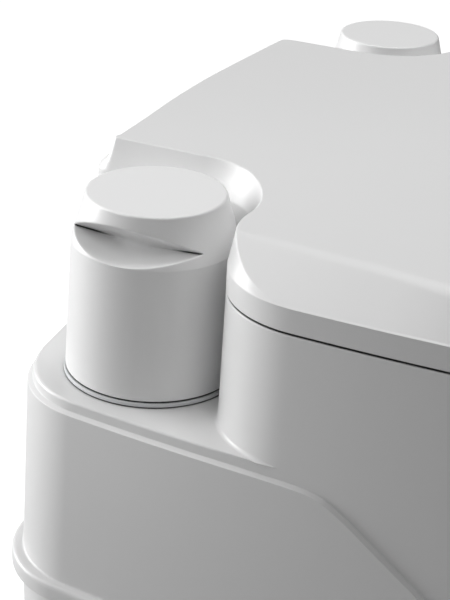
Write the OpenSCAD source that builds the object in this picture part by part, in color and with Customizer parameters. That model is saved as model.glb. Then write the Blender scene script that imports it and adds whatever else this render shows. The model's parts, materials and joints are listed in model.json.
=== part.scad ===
// Portable toilet: a flush water tank with bowl, seat and lid, latched onto a waste tank.
// Origin at the middle of the footprint on the floor, +Z up, front towards -Y, +X to the front's right.

/* [Outline] */
// Width over the flange between the two tanks
flange_w = 383; // [377:1:390]
// Depth over the flange between the two tanks
flange_d = 427; // [423:1:432]
// How far the deck's and the lid's sides lie inside the flange
deck_in_x = 10; // [8.5:0.5:11.5]
// How far the deck's and the lid's front and back lie inside the flange
deck_in_y = 13.5; // [12:0.5:14.5]
// Radius of the long bow of the front and the back
bow_front_r = 1300; // [1100:50:1800]
// Radius of the long bow of the sides
bow_side_r = 1200; // [1000:50:1800]
// Radius of the upright corners
corner_r = 50; // [46:1:53]

/* [Levels] */
// Height of the feet under the waste tank
foot_h = 3; // [2:0.5:5]
// Height where the flush tank meets the waste tank
split_z = 210.5; // [207:0.5:214]
// Height of the shelf that carries the pump and the filler, over the split
shelf_up = 109.5; // [106:0.5:113]
// Height of the seat deck over the shelf
deck_up = 65; // [63:0.5:67]

/* [Flush tank] */
// Wall of the flush tank
tank_wall = 3; // [2.5:0.25:3.5]
// Height of the flange lip
lip_h = 9.5; // [8:0.5:11]
// How far the flange lip stands out of the wall above it
lip_step = 4.8; // [4:0.2:5.4]
// How far the lower panel stands out of the wall above its swept edge
panel_step = 2.5; // [2:0.1:3]
// How far below the shelf the panel's edge starts
panel_drop = 5; // [4:0.5:7]
// Distance from the middle where the panel's edge starts to dive
dive_x = 2; // [-10:1:12]
// Angle of the diving part of the panel's edge
dive_angle = 37; // [34:1:40]
// Height of the panel's edge over the flange on the far side
panel_foot = 18; // [14:1:24]
// Rounding of the deck's and the shelf's outer edge
edge_round = 2; // [1.5:0.1:2.5]
// Depth of the step behind the deck in which the hinges stand
hinge_step = 10; // [9.5:0.1:12]

/* [Pump and filler places] */
// Distance of the pump axis from the deck's left side
pump_in_x = 66.5; // [65:0.5:68.5]
// Distance of the pump axis from the deck's front
pump_in_y = 56; // [54:0.5:58]
// Radius of the notch around the pump
pump_notch_r = 46.5; // [46:0.5:48]
// Distance of the filler axis from the deck's left side
fill_in_x = 63.5; // [61.5:0.5:65.5]
// Distance of the filler axis from the deck's back
fill_in_y = 30.5; // [29:0.5:32]
// Radius of the notch around the filler
fill_notch_r = 42; // [41.5:0.5:43]
// Radius of the nose between the pump notch and the front
nose_r = 50; // [44:1:52]
// Radius of the nose between the filler notch and the back
back_nose_r = 18; // [14:1:20]
// Radius of the upright edge between a notch and the left side
ear_r = 12; // [9:1:13]

/* [Lid] */
// Gap between the deck and the lid
lid_gap = 1.2; // [1:0.1:1.8]
// Height of the lid from its lower edge to its top
lid_h = 27.8; // [26.8:0.5:29.8]
// Height of the lid's upright skirt
skirt_h = 11.5; // [10:0.5:13]
// Wall of the lid
lid_wall = 2.8; // [2.4:0.1:3]
// How far the top edge lies inside the skirt at the sides
side_slope = 11; // [9:0.5:12]
// How far the front crease lies behind the skirt
front_slope = 25; // [20:1:28]
// How far the top edge lies inside the skirt at a notch
notch_slope = 6.5; // [5:0.5:8]
// Drop from the top to the front crease
crease_drop = 1.6; // [1:0.1:2]

/* [Seat] */
// How far the seat reaches in over the bowl's rim
seat_over = 5; // [3:0.5:7]
// Thickness of the seat
seat_t = 13; // [11:0.5:14]
// Height of the buffers under the seat
seat_buffer_h = 4; // [4:0.25:5]
// Clearance between the seat and the lid's skirt
seat_clear = 4.2; // [3:0.1:5]
// How much further in the seat's front edge lies, under the lid's front slope
seat_front_in = 7; // [6:0.5:9]
// Wall of the seat's moulding
seat_wall = 3; // [2.5:0.25:3.5]
// Radius of the buffers' feet
buffer_r = 6; // [5:0.5:7]

/* [Hinges] */
// Distance of the hinge axis in front of the lid's back
hinge_in = 16; // [15.5:0.25:16.5]
// Height of the hinge axis over the deck
hinge_up = 12; // [11.5:0.25:12.5]
// Distance of the left hinge from the deck's left side
hinge_left_in = 143.5; // [137.5:1:149.5]
// Distance of the right hinge from the deck's right side
hinge_right_in = 63.5; // [57.5:1:69.5]
// Width of one hinge knuckle
knuckle_w = 8; // [6:0.5:9]
// Outer radius of the hinge knuckles
knuckle_r = 6.5; // [6:0.25:6.8]
// Radius of the hinge pins
pin_r = 3; // [2.5:0.25:3.5]

/* [Bowl] */
// Half of what the bowl's rim is narrower than the deck
bowl_in_x = 73.5; // [71.5:0.5:75.5]
// Space between the bowl's rim and the deck's front and back
bowl_in_y = 70; // [68:0.5:72]
// Distance of the bowl from the middle, towards the right
bowl_x = 10; // [8:0.5:12]
// Wall of the bowl
bowl_wall = 2.5; // [2:0.25:3]
// Width of the rim that lies on the deck
rim_w = 7; // [6:0.5:8]
// Radius of the bowl's outlet
outlet_r = 45; // [42:0.5:46]
// Distance of the outlet from the middle, towards the back
outlet_y = 15; // [10:1:18]
// Clearance between the bowl and the flush tank
bowl_clear = 1.5; // [1:0.25:2]

/* [Pump] */
// Radius of the pump knob at its foot
knob_r = 42.8; // [42:0.1:43.2]
// Radius of the knob at its shoulder
knob_shoulder_r = 40.5; // [40:0.1:41]
// Radius of the knob's flat top
knob_top_r = 33.8; // [33:0.1:35]
// Height of the knob's cone over its shoulder
knob_cone_h = 24; // [22:0.5:26]
// Gap between the knob's top and the lid's top level
knob_low = 0.5; // [0.4:0.1:1]
// Wall of the knob
knob_wall = 2.5; // [2:0.25:3]
// Height of the collar ring that shows under the knob
collar_h = 2.4; // [2:0.1:3]
// Gap between a knob or cap and its collar ring
foot_gap = 0.6; // [0.4:0.1:0.8]
// Outer radius of the guide tube inside the knob
guide_r = 37; // [35:0.5:37.5]
// Inner radius of the pump barrel
barrel_r = 22; // [20:0.5:24]
// Radius of the piston rod
rod_r = 4; // [3.5:0.25:5]

/* [Finger scoop] */
// Radius of the scoop's floor across the knob
scoop_r = 72; // [66:1:78]
// Slope of the scoop's ceiling
scoop_angle = 33.2; // [31.2:0.5:36.2]
// Distance of the scoop's inner line from the knob's axis
scoop_in = 8.6; // [6.6:0.5:10.6]

/* [Filler] */
// Radius of the filler cap at its foot
cap_r = 38.5; // [38:0.1:38.8]
// Inner radius of the filler neck
neck_r = 25; // [23:0.5:26]
// Height of the filler neck over the shelf
neck_h = 30; // [26:1:34]

/* [Waste tank] */
// How far the waste tank's walls lie inside the flange
waste_in = 4.5; // [3.5:0.5:6]
// Wall of the waste tank
waste_wall = 3; // [2.5:0.25:3.5]
// How much smaller the waste tank is at its foot, on each side
waste_draft = 3; // [2:0.5:4]
// Gap between the two tanks around their edge
tank_gap = 1; // [0.8:0.1:1.4]
// Radius of the feet
foot_r = 14; // [11:0.5:16]

/* [Slide valve] */
// How far the valve blade reaches past the outlet on all sides
blade_over = 7; // [6:0.5:8]
// Thickness of the valve blade
blade_t = 3; // [2.5:0.25:3.5]
// Sliding clearance around the blade
blade_clear = 0.35; // [0.3:0.05:0.5]
// Thickness of the plates over and under the blade
plate_t = 4; // [3.5:0.25:5]
// Width of the rails beside the blade
rail_w = 13; // [12:0.5:15]
// Width of the handle at the front
grip_w = 84; // [76:1:90]

/* [Spout] */
// Distance of the spout's swivel from the waste tank's right side
spout_in_x = 67; // [65:0.5:69]
// Distance of the spout's swivel from the waste tank's back
spout_in_y = 59; // [58:0.5:60]
// Outer radius of the spout
spout_r = 26; // [25:0.25:27]
// Wall of the spout
spout_wall = 3; // [2.5:0.25:3.5]
// Bend radius of the spout
spout_bend = 32; // [31:0.5:34]
// Reach of the spout from its swivel to its mouth
spout_reach = 148; // [142:1:150]
// Height of the pocket that holds the spout
pocket_h = 74; // [73:0.5:76]

/* [Latches] */
// Width of a side latch
latch_w = 56; // [50:1:60]
// Height of the latch pivot below the split
latch_drop = 26; // [24:0.5:28]
// Thickness of a side latch
latch_t = 3.6; // [3.2:0.1:3.9]

/* [Hidden] */
$fn = 72;

white = [0.9, 0.9, 0.9];
off_white = [0.82, 0.83, 0.84];
grey = [0.5, 0.52, 0.54];
dark = [0.12, 0.12, 0.13];
steel = [0.7, 0.71, 0.73];
clear = [0.75, 0.85, 0.9, 0.5];

// Running clearance around hinge pins and the piston rod
run_clear = 0.05;
// Gap between parts that stand next to each other
side_clear = 0.5;
// Gap around a knuckle that turns in another part
knuckle_room = 0.6;
// Clearance of a screw in a drilled hole
screw_clear = 0.1;

deck_w = flange_w - 2 * deck_in_x;
deck_d = flange_d - 2 * deck_in_y;
waste_w = flange_w - 2 * waste_in;
waste_d = flange_d - 2 * waste_in;
// The blade travels its own width, so that the outlet is open all the way.
blade_w = 2 * (outlet_r + blade_over);
blade_travel = blade_w;
bowl_w = deck_w - 2 * bowl_in_x;
bowl_d = deck_d - 2 * bowl_in_y;
seat_hole_w = bowl_w - 2 * seat_over;
seat_hole_d = bowl_d - 2 * seat_over;
shelf_z = split_z + shelf_up;
deck_z = shelf_z + deck_up;
total_h = deck_z + lid_gap + lid_h;
pump_x = deck_w / 2 - pump_in_x;
pump_y = deck_d / 2 - pump_in_y;
fill_x = deck_w / 2 - fill_in_x;
fill_y = deck_d / 2 - fill_in_y;
spout_x = waste_w / 2 - spout_in_x;
spout_y = waste_d / 2 - spout_in_y;

pump_at = [-pump_x, -pump_y];
fill_at = [-fill_x, fill_y];
bowl_at = [bowl_x, 0];
outlet_at = [bowl_x, outlet_y];
spout_at = [spout_x, spout_y];

// Walls lean outwards from the deck down to the flange.
foot_z = split_z + lip_h;
foot_half_w = flange_w / 2 - lip_step - panel_step;
foot_half_d = flange_d / 2 - lip_step - panel_step;
function lean(z) = (deck_z - z) / (deck_z - foot_z);
function half_w(z) = deck_w / 2 + (foot_half_w - deck_w / 2) * lean(z);
function half_d(z) = deck_d / 2 + (foot_half_d - deck_d / 2) * lean(z);

// Samples of an outline are [x, y, outward x, outward y].
function arc(c, r, a0, a1, n, s = 1) = [
    for (i = [0:n - 1]) let (a = a0 + (a1 - a0) * i / n)
    [c.x + r * cos(a), c.y + r * sin(a), s * cos(a), s * sin(a)]
];
function straight(p, q, way, n) = [
    for (i = [0:n - 1]) let (k = p + (q - p) * i / n) [k.x, k.y, way.x, way.y]
];
function turn(v) = atan2(v.y, v.x);
function after(a, a0) = a < a0 ? a + 360 : a;
// Centre of a circle that keeps the distances r1 from c1 and r2 from c2
function meet(c1, r1, c2, r2, side) = let (
    d = norm(c2 - c1),
    a = (r1 * r1 - r2 * r2 + d * d) / (2 * d),
    h = sqrt(max(0, r1 * r1 - a * a)),
    u = (c2 - c1) / d
) c1 + a * u + side * h * [-u.y, u.x];
function front_c(hd) = [0, bow_front_r - hd];
function back_c(hd) = [0, hd - bow_front_r];
function right_c(hw) = [hw - bow_side_r, 0];
function left_c(hw) = [bow_side_r - hw, 0];
function nose_at(hd) = meet(pump_at, pump_notch_r + nose_r, front_c(hd), bow_front_r - nose_r, -1);
function back_nose_at(hd) =
    meet(fill_at, fill_notch_r + back_nose_r, back_c(hd), bow_front_r - back_nose_r, 1);
function front_right(hw, hd) =
    meet(front_c(hd), bow_front_r - corner_r, right_c(hw), bow_side_r - corner_r, 1);
function back_right(hw, hd) = meet(right_c(hw), bow_side_r - corner_r, back_c(hd), bow_front_r - corner_r, 1);
function front_left(hw, hd) = meet(left_c(hw), bow_side_r - corner_r, front_c(hd), bow_front_r - corner_r, 1);
function back_left(hw, hd) = meet(back_c(hd), bow_front_r - corner_r, left_c(hw), bow_side_r - corner_r, 1);
function ear_at(hw, y) = [left_c(hw).x - sqrt(pow(bow_side_r - ear_r, 2) - y * y), y];
function front_ear(hw) = ear_at(hw, pump_at.y + pump_notch_r + ear_r);
function back_ear(hw) = ear_at(hw, fill_at.y - fill_notch_r - ear_r);

// Steps along each stretch of an outline
n_nose = 6;
n_front = 12;
n_corner = 7;
n_side = 4;
n_back = 11;
n_back_nose = 4;
n_back_notch = 9;
n_line = 2;
n_ear = 4;
n_left = 5;
n_notch = 12;

// Stretches that the outline with notches and the plain one share
function shared_right(hw, hd) = let (
    cf = front_c(hd),
    cb = back_c(hd),
    cr = right_c(hw),
    fr = front_right(hw, hd),
    br = back_right(hw, hd)
) concat(
    arc(cf, bow_front_r, turn(nose_at(hd) - cf), turn(fr - cf), n_front),
    arc(fr, corner_r, turn(fr - cf), turn(fr - cr), n_corner),
    arc(cr, bow_side_r, turn(fr - cr), turn(br - cr), n_side),
    arc(br, corner_r, turn(br - cr), turn(br - cb), n_corner),
    arc(cb, bow_front_r, turn(br - cb), turn(back_nose_at(hd) - cb), n_back)
);

// Outline of the deck and the lid, with a notch for the pump and one for the filler
function notched(hw, hd) = let (
    n1 = nose_at(hd),
    n2 = back_nose_at(hd),
    k1 = front_ear(hw),
    k2 = back_ear(hw),
    cl = left_c(hw),
    nose_a = after(turn(pump_at - n1), 0),
    nose_b = after(turn(n1 - front_c(hd)), nose_a),
    back_a = turn(n2 - back_c(hd)),
    back_b = after(turn(fill_at - n2), back_a)
) concat(
    arc(n1, nose_r, nose_a, nose_b, n_nose),
    shared_right(hw, hd),
    arc(n2, back_nose_r, back_a, back_b, n_back_nose),
    arc(fill_at, fill_notch_r, turn(n2 - fill_at), -90, n_back_notch, -1),
    straight(fill_at - [0, fill_notch_r], k2 + [0, ear_r], [0, 1], n_line),
    arc(k2, ear_r, 90, turn(k2 - cl), n_ear),
    arc(cl, bow_side_r, turn(k2 - cl), after(turn(k1 - cl), 0), n_left),
    arc(k1, ear_r, after(turn(k1 - cl), 0), 270, n_ear),
    straight(k1 - [0, ear_r], pump_at + [0, pump_notch_r], [0, -1], n_line),
    arc(pump_at, pump_notch_r, 90, turn(n1 - pump_at), n_notch, -1)
);

// Plain outline, sample by sample beside the notched one
function plain(hw, hd) = let (
    cf = front_c(hd),
    cb = back_c(hd),
    cl = left_c(hw),
    fl = front_left(hw, hd),
    bl = back_left(hw, hd),
    left_a = after(turn(bl - cl), 0),
    left_b = after(turn(back_ear(hw) - cl), 0),
    left_c = after(turn(front_ear(hw) - cl), 0),
    left_d = after(turn(fl - cl), 0)
) concat(
    arc(cf, bow_front_r, turn(fl - cf), turn(nose_at(hd) - cf), n_nose),
    shared_right(hw, hd),
    arc(cb, bow_front_r, turn(back_nose_at(hd) - cb), turn(bl - cb), n_back_nose),
    arc(bl, corner_r, turn(bl - cb), left_a, n_back_notch + n_line),
    arc(cl, bow_side_r, left_a, left_b, n_ear),
    arc(cl, bow_side_r, left_b, left_c, n_left),
    arc(cl, bow_side_r, left_c, left_d, n_ear),
    arc(fl, corner_r, left_d, after(turn(fl - cf), 0), n_line + n_notch)
);

// A ring of points: an outline, moved inwards by d, at height z. d and z may be one value per sample.
function pick(v, i) = is_list(v) ? v[i] : v;
function ring(path, d, z) = [
    for (i = [0:len(path) - 1]) let (s = path[i], k = pick(d, i))
    [s[0] - k * s[2], s[1] - k * s[3], pick(z, i)]
];
function oval(c, a, b, z, n = 48) = [
    for (i = [0:n - 1]) [c.x + a * cos(360 * i / n), c.y + b * sin(360 * i / n), z]
];

// Rings are joined from the bottom to the top and closed by fans around a point that sees all of each ring.
fan_at = [20, 0];
module loft(rings) {
    n = len(rings[0]);
    m = len(rings);
    last = (m - 1) * n;
    ends = [for (r = [rings[0], rings[m - 1]]) [fan_at.x, fan_at.y, r[0].z]];
    points = concat([for (r = rings) each r], ends);
    sides = [
        for (j = [0:m - 2]) for (i = [0:n - 1]) let (a = j * n + i, b = j * n + (i + 1) % n)
        each [[a, a + n, b + n], [a, b + n, b]]
    ];
    bottom = [for (i = [0:n - 1]) [i, (i + 1) % n, m * n]];
    top = [for (i = [0:n - 1]) [last + (i + 1) % n, last + i, m * n + 1]];
    polyhedron(points, concat(sides, bottom, top), convexity = 10);
}

module block(from, to) translate(from) cube(to - from);
module tube(ro, ri, h) difference() {
    cylinder(r = ro, h = h);
    translate([0, 0, -1]) cylinder(r = ri, h = h + 2);
}
module at(p, z = 0) translate([p.x, p.y, z]) children();

// Height of the panel's edge: level on the left, diving to the right, level again over the flange
panel_high = shelf_z - panel_drop;
panel_low = foot_z + panel_foot;
dive_round = 9;
function ease(t) = (t + sqrt(t * t + dive_round * dive_round)) / 2;
dive_len = (panel_high - panel_low) / tan(dive_angle);
function panel_z(x) = panel_high - tan(dive_angle) * (ease(x - dive_x) - ease(x - dive_x - dive_len));
// Front and back follow the dive, and the sides stay level.
function edge_z(path) = [
    for (s = path) s[0] < 0 ? max(panel_z(s[0]), panel_low) : min(panel_z(s[0]), panel_high)
];

// 1 where the shelf is wide, 0 where the wall runs straight up
function shelf_share(z) = let (p = plain(half_w(z), half_d(z)), q = notched(half_w(z), half_d(z)))
    [for (i = [0:len(p) - 1]) min(1, norm([p[i][0] - q[i][0], p[i][1] - q[i][1]]) / 6)];

module tank_outside() {
    share = shelf_share(shelf_z);
    lip = plain(flange_w / 2, flange_d / 2);
    foot = plain(foot_half_w + panel_step, foot_half_d + panel_step);
    mid = plain(half_w(panel_high) + panel_step, half_d(panel_high) + panel_step);
    edge = edge_z(mid);
    rim = plain(half_w(shelf_z), half_d(shelf_z));
    // The wall's lean at the panel's edge, between its lowest and highest stretch
    proud = [for (i = [0:len(mid) - 1]) let (f = foot[i], m = mid[i], t = (edge[i] - foot_z) / (panel_high - foot_z))
        [f[0] + (m[0] - f[0]) * t, f[1] + (m[1] - f[1]) * t, m[2], m[3]]];
    loft([
        ring(lip, 0, split_z),
        ring(lip, 0, split_z + lip_h - edge_round),
        ring(lip, edge_round, split_z + lip_h),
        ring(foot, 0, foot_z + 0.8),
        ring(proud, 0, [for (z = edge) z - 1.6]),
        ring(proud, panel_step, edge),
        ring(rim, 0, shelf_z - edge_round),
        ring(rim, [for (k = share) k * edge_round], shelf_z),
        ring(notched(half_w(shelf_z), half_d(shelf_z)), 0, [for (k = share) shelf_z + 1 - k]),
        ring(notched(half_w(deck_z), half_d(deck_z)), 0, deck_z - edge_round),
        ring(notched(half_w(deck_z), half_d(deck_z)), edge_round, deck_z)
    ]);
}
module tank_inside() {
    low = split_z + tank_wall;
    mid = shelf_z - tank_wall;
    high = deck_z - tank_wall;
    loft([
        ring(plain(half_w(low), half_d(low)), tank_wall, low),
        ring(plain(half_w(mid), half_d(mid)), tank_wall, mid),
        ring(notched(half_w(mid), half_d(mid)), tank_wall, mid + 0.5),
        ring(notched(half_w(high), half_d(high)), tank_wall, high)
    ]);
}

// The bowl narrows from the rim to the outlet. grow thickens it on all sides.
throat_z = split_z + 14;
module funnel(grow, from, to) {
    levels = [
        [throat_z, 0, 1], [throat_z + 4, 0.06, 1], [throat_z + 30, 0.3, 0.85], [throat_z + 72, 0.62, 0.5],
        [throat_z + 118, 0.86, 0.2], [deck_z - 6, 0.99, 0], [deck_z, 1, 0]
    ];
    mid = [for (l = levels) let (
        a = outlet_r + (bowl_w / 2 - outlet_r) * l[1] + grow,
        b = outlet_r + (bowl_d / 2 - outlet_r) * l[1] + grow,
        c = bowl_at + (outlet_at - bowl_at) * l[2]
    ) oval(c, a, b, l[0] - (l[1] < 0.9 && l[1] > 0 ? grow / 2 : 0))];
    end = mid[len(mid) - 1];
    start = mid[0];
    loft(concat(
        [[for (p = start) [p.x, p.y, from]]],
        mid,
        [[for (p = end) [p.x, p.y, to]]]
    ));
}

hinge_y = deck_d / 2 - hinge_in;
hinge_z = deck_z + hinge_up;
hinge_xs = [hinge_left_in - deck_w / 2, deck_w / 2 - hinge_right_in];
hinge_floor = deck_z - hinge_step;
// The lid's back edge swings through the step on this radius.
swing_r = norm([hinge_in, hinge_up - lid_gap]) + 1;
hinge_front = hinge_y - sqrt(swing_r * swing_r - hinge_up * hinge_up);
ear_half = 4;
bracket_back = hinge_y - swing_r;
bracket_front = bracket_back - 5;
bracket_foot = [26, 24, 3];
foot_y = bracket_back - bracket_foot.y / 2;
screw_dx = 8;
hinge_screw_r = 1.6;
module hinge_screw_places() for (x = hinge_xs) for (s = [-1, 1])
    translate([x + s * screw_dx, foot_y, deck_z]) children();

hose_r = 8;
hose_bore = 5.5;
hose_y = -pump_y - 16;
hose_z = split_z + 22;
hose_up_x = bowl_x;
nozzle_z = deck_z - 14;
hose_bend = 16;
hose_end = 8;

module flush_tank() color(white) difference() {
    tank_outside();
    difference() {
        tank_inside();
        funnel(bowl_wall + bowl_clear + tank_wall, split_z - 1, deck_z + 1);
        block([-deck_w, hinge_front - tank_wall, hinge_floor - tank_wall], [deck_w, deck_d, deck_z]);
        hinge_screw_places() translate([0, 0, -16]) cylinder(r = 5, h = 16);
        at(pump_at, shelf_z - 20) cylinder(r = guide_r + 4, h = 21);
        at(fill_at, shelf_z - 20) cylinder(r = neck_r + 7, h = 21);
    }
    funnel(bowl_wall + bowl_clear, split_z - 1, deck_z + 1);
    block([-deck_w, hinge_front, hinge_floor], [deck_w, deck_d, deck_z + 1]);
    at(pump_at, shelf_z - 30) cylinder(r = guide_r + 0.2, h = 40);
    at(fill_at, shelf_z - 30) cylinder(r = neck_r + 3.2, h = 40);
    hinge_screw_places() translate([0, 0, -14]) cylinder(r = hinge_screw_r, h = 30);
    translate([hose_up_x, -bowl_d / 2 - 20, nozzle_z]) rotate([-90, 0, 0]) cylinder(r = 6, h = 40);
    for (s = [-1, 1]) latch_room(s);
}

module bowl() color(white) difference() {
    union() {
        funnel(bowl_wall, split_z - 4.5, deck_z + 1);
        loft([
            oval(bowl_at, bowl_w / 2 + rim_w, bowl_d / 2 + rim_w, deck_z),
            oval(bowl_at, bowl_w / 2 + rim_w, bowl_d / 2 + rim_w, deck_z + 1),
            oval(bowl_at, bowl_w / 2 + rim_w - 2, bowl_d / 2 + rim_w - 2, deck_z + 2)
        ]);
    }
    funnel(0, split_z - 10, deck_z + 3);
    translate([hose_up_x, -bowl_d / 2 - 20, nozzle_z]) rotate([-90, 0, 0]) cylinder(r = 5.6, h = 40);
}

// The seat lies under the lid, inside its skirt.
seat_z = deck_z + seat_buffer_h;
seat_in = lid_wall + seat_clear;
seat_back = hinge_front;
lid_z = deck_z + lid_gap;
lid_inner_top = total_h - lid_wall;
buffer_at = [
    [-deck_w / 2 + 61.5, 60], [-pump_x + 60, -deck_d / 2 + 38],
    [deck_w / 2 - 46.5, -100], [deck_w / 2 - 61.5, deck_d / 2 - 80]
];
function deck_path() = notched(deck_w / 2, deck_d / 2);

module knuckle(x, w) translate([x, hinge_y, hinge_z]) rotate([0, 90, 0]) cylinder(r = knuckle_r, h = w);
// Where the three knuckles of a hinge stand, from the hinge's middle outwards, on the side s
function seat_knuckle_x(x, s) = s > 0 ? x - knuckle_w * 1.5 - side_clear : x + knuckle_w / 2 + side_clear;
function lid_knuckle_x(x, s) = s > 0 ? x + knuckle_w / 2 + side_clear : x - knuckle_w * 1.5 - side_clear;
function bracket_knuckle_x(x) = x - knuckle_w / 2;
module pin_bore(x) translate([x, hinge_y, hinge_z]) rotate([0, 90, 0])
    cylinder(r = pin_r + run_clear, h = 4 * knuckle_w, center = true);

function front_share(path) = [for (s = path) s[1] < -pump_y ? max(0, -s[3]) : 0];
function seat_ring(grow, z) =
    ring(deck_path(), [for (t = front_share(deck_path())) seat_in + seat_front_in * t + grow], z);
module seat_gap(x, grow) block(
    [bracket_knuckle_x(x) - 1 - grow, bracket_front - 1.5 - grow, seat_z - 2],
    [bracket_knuckle_x(x) + knuckle_w + 1 + grow, seat_back + 1, seat_z + seat_t + 1]
);
module seat() color(white) difference() {
    union() {
        difference() {
            loft([
                seat_ring(0, seat_z), seat_ring(0, seat_z + seat_t - 4),
                seat_ring(1.2, seat_z + seat_t - 1.4), seat_ring(4, seat_z + seat_t)
            ]);
            difference() {
                loft([seat_ring(seat_wall, seat_z - 1), seat_ring(seat_wall, seat_z + seat_t - seat_wall)]);
                for (x = hinge_xs) seat_gap(x, seat_wall);
                loft([
                    oval(bowl_at, seat_hole_w / 2 + seat_wall, seat_hole_d / 2 + seat_wall, seat_z - 2),
                    oval(bowl_at, seat_hole_w / 2 + seat_wall, seat_hole_d / 2 + seat_wall, seat_z + seat_t)
                ]);
                block([-deck_w, seat_back - seat_wall, seat_z - 2], [deck_w, deck_d, seat_z + seat_t]);
                for (p = buffer_at) at(p, seat_z - 2) cylinder(r = buffer_r, h = seat_t);
            }
            loft([
                oval(bowl_at, seat_hole_w / 2, seat_hole_d / 2, seat_z - 1),
                oval(bowl_at, seat_hole_w / 2, seat_hole_d / 2, seat_z + seat_t - 4),
                oval(bowl_at, seat_hole_w / 2 + 1.2, seat_hole_d / 2 + 1.2, seat_z + seat_t - 1.4),
                oval(bowl_at, seat_hole_w / 2 + 5, seat_hole_d / 2 + 5, seat_z + seat_t + 0.5)
            ]);
            block([-deck_w, seat_back, seat_z - 1], [deck_w, deck_d, seat_z + seat_t + 1]);
            for (x = hinge_xs) seat_gap(x, 0);
        }
        for (i = [0, 1]) let (x = seat_knuckle_x(hinge_xs[i], i * 2 - 1)) {
            knuckle(x, knuckle_w);
            block([x, seat_back - 2, hinge_z - ear_half], [x + knuckle_w, hinge_y, hinge_z + ear_half]);
        }
    }
    for (x = hinge_xs) pin_bore(x);
}

module seat_buffers() color(dark) for (p = buffer_at) at(p, deck_z)
    cylinder(r = buffer_r - 0.5, h = seat_buffer_h);

// How far each sample of the lid's top edge lies inside the skirt
function blend(a, b, t) = a + (b - a) * max(0, min(1, t));
function slope_in(path) = let (share = front_share(path)) [for (i = [0:len(path) - 1])
    let (
        s = path[i],
        near_pump = norm([s[0], s[1]] - pump_at) < pump_notch_r + 1 ? 1 : 0,
        near_fill = norm([s[0], s[1]] - fill_at) < fill_notch_r + 1 ? 1 : 0,
        notch = max(near_pump, near_fill)
    ) notch > 0 ? notch_slope : blend(side_slope, front_slope, share[i])];
function crease_z(path) = [for (d = slope_in(path))
    total_h - 0.6 - crease_drop * max(0, d - side_slope) / (front_slope - side_slope)];

// The lid swings past the brackets, so its back wall is open there.
module lid_slots() for (x = hinge_xs) block(
    [bracket_knuckle_x(x) - 1, hinge_y, lid_z - 1],
    [bracket_knuckle_x(x) + knuckle_w + 1, deck_d, hinge_z + 2.3 * ear_half]
);
// Room for the seat's knuckles, which turn inside the lid's back wall
module seat_knuckle_room() for (i = [0, 1])
    translate([seat_knuckle_x(hinge_xs[i], i * 2 - 1) - side_clear, hinge_y, hinge_z]) rotate([0, 90, 0])
        cylinder(r = knuckle_r + knuckle_room, h = knuckle_w + 2 * side_clear);
module lid_outside() loft([
    ring(deck_path(), 0, lid_z),
    ring(deck_path(), 0, lid_z + skirt_h - 2.5),
    ring(deck_path(), 2.5, lid_z + skirt_h + 1),
    ring(deck_path(), slope_in(deck_path()), crease_z(deck_path())),
    ring(deck_path(), [for (d = slope_in(deck_path())) d + 2.4], total_h)
]);
module lid() color(white) difference() {
    union() {
        difference() {
            lid_outside();
            loft([
                ring(deck_path(), lid_wall, lid_z - 1),
                ring(deck_path(), lid_wall, lid_z + skirt_h - 3),
                ring(deck_path(), [for (d = slope_in(deck_path())) d + lid_wall], lid_inner_top - 0.6)
            ]);
            seat_knuckle_room();
        }
        for (i = [0, 1]) let (x = lid_knuckle_x(hinge_xs[i], i * 2 - 1)) {
            knuckle(x, knuckle_w);
            block([x, hinge_y - knuckle_r, hinge_z], [x + knuckle_w, hinge_y - 3, lid_inner_top + 1]);
        }
    }
    lid_slots();
    for (x = hinge_xs) pin_bore(x);
}

lid_buffer_at = [
    [-deck_w / 2 + 46.5, 20], [-pump_x + 75, -deck_d / 2 + 45],
    [deck_w / 2 - 51.5, -125], [deck_w / 2 - 41.5, deck_d / 2 - 90]
];
module lid_buffers() color(dark) for (p = lid_buffer_at)
    at(p, seat_z + seat_t) cylinder(r = buffer_r - 1, h = lid_inner_top - 0.6 - seat_z - seat_t);

module hinge_bracket(x) color(off_white) difference() {
    union() {
        translate([x - bracket_foot.x / 2, bracket_back - bracket_foot.y, deck_z]) cube(bracket_foot);
        block(
            [bracket_knuckle_x(x), bracket_front, deck_z + 1],
            [bracket_knuckle_x(x) + knuckle_w, bracket_back, hinge_z + ear_half]
        );
        block(
            [bracket_knuckle_x(x), bracket_back - 1, hinge_z - ear_half],
            [bracket_knuckle_x(x) + knuckle_w, hinge_y, hinge_z + ear_half]
        );
        knuckle(bracket_knuckle_x(x), knuckle_w);
    }
    translate([x, hinge_y, hinge_z]) rotate([0, 90, 0]) cylinder(r = pin_r, h = 2 * knuckle_w, center = true);
    for (s = [-1, 1]) translate([x + s * screw_dx, foot_y, deck_z - 1]) cylinder(r = 1.8, h = 20);
    for (s = [-1, 1]) translate([x + s * screw_dx, foot_y, deck_z + 1.4]) cylinder(r = 3.2, h = 5);
}
module hinge_bracket_left() hinge_bracket(hinge_xs[0]);
module hinge_bracket_right() hinge_bracket(hinge_xs[1]);
module hinge_pin(x) color(steel) translate([x, hinge_y, hinge_z]) rotate([0, 90, 0])
    cylinder(r = pin_r, h = 3 * knuckle_w + 2 * side_clear + 1, center = true);
module hinge_pin_left() hinge_pin(hinge_xs[0]);
module hinge_pin_right() hinge_pin(hinge_xs[1]);
module hinge_screws() color(steel) hinge_screw_places() {
    translate([0, 0, 1.4]) cylinder(r = 3, h = 1.5);
    translate([0, 0, -12]) cylinder(r = hinge_screw_r, h = 13.4);
}

// Pump
collar_top = shelf_z + collar_h;
knob_z = collar_top + foot_gap;
knob_h = total_h - knob_low - knob_z;
knob_shoulder_h = knob_h - knob_cone_h;

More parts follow.
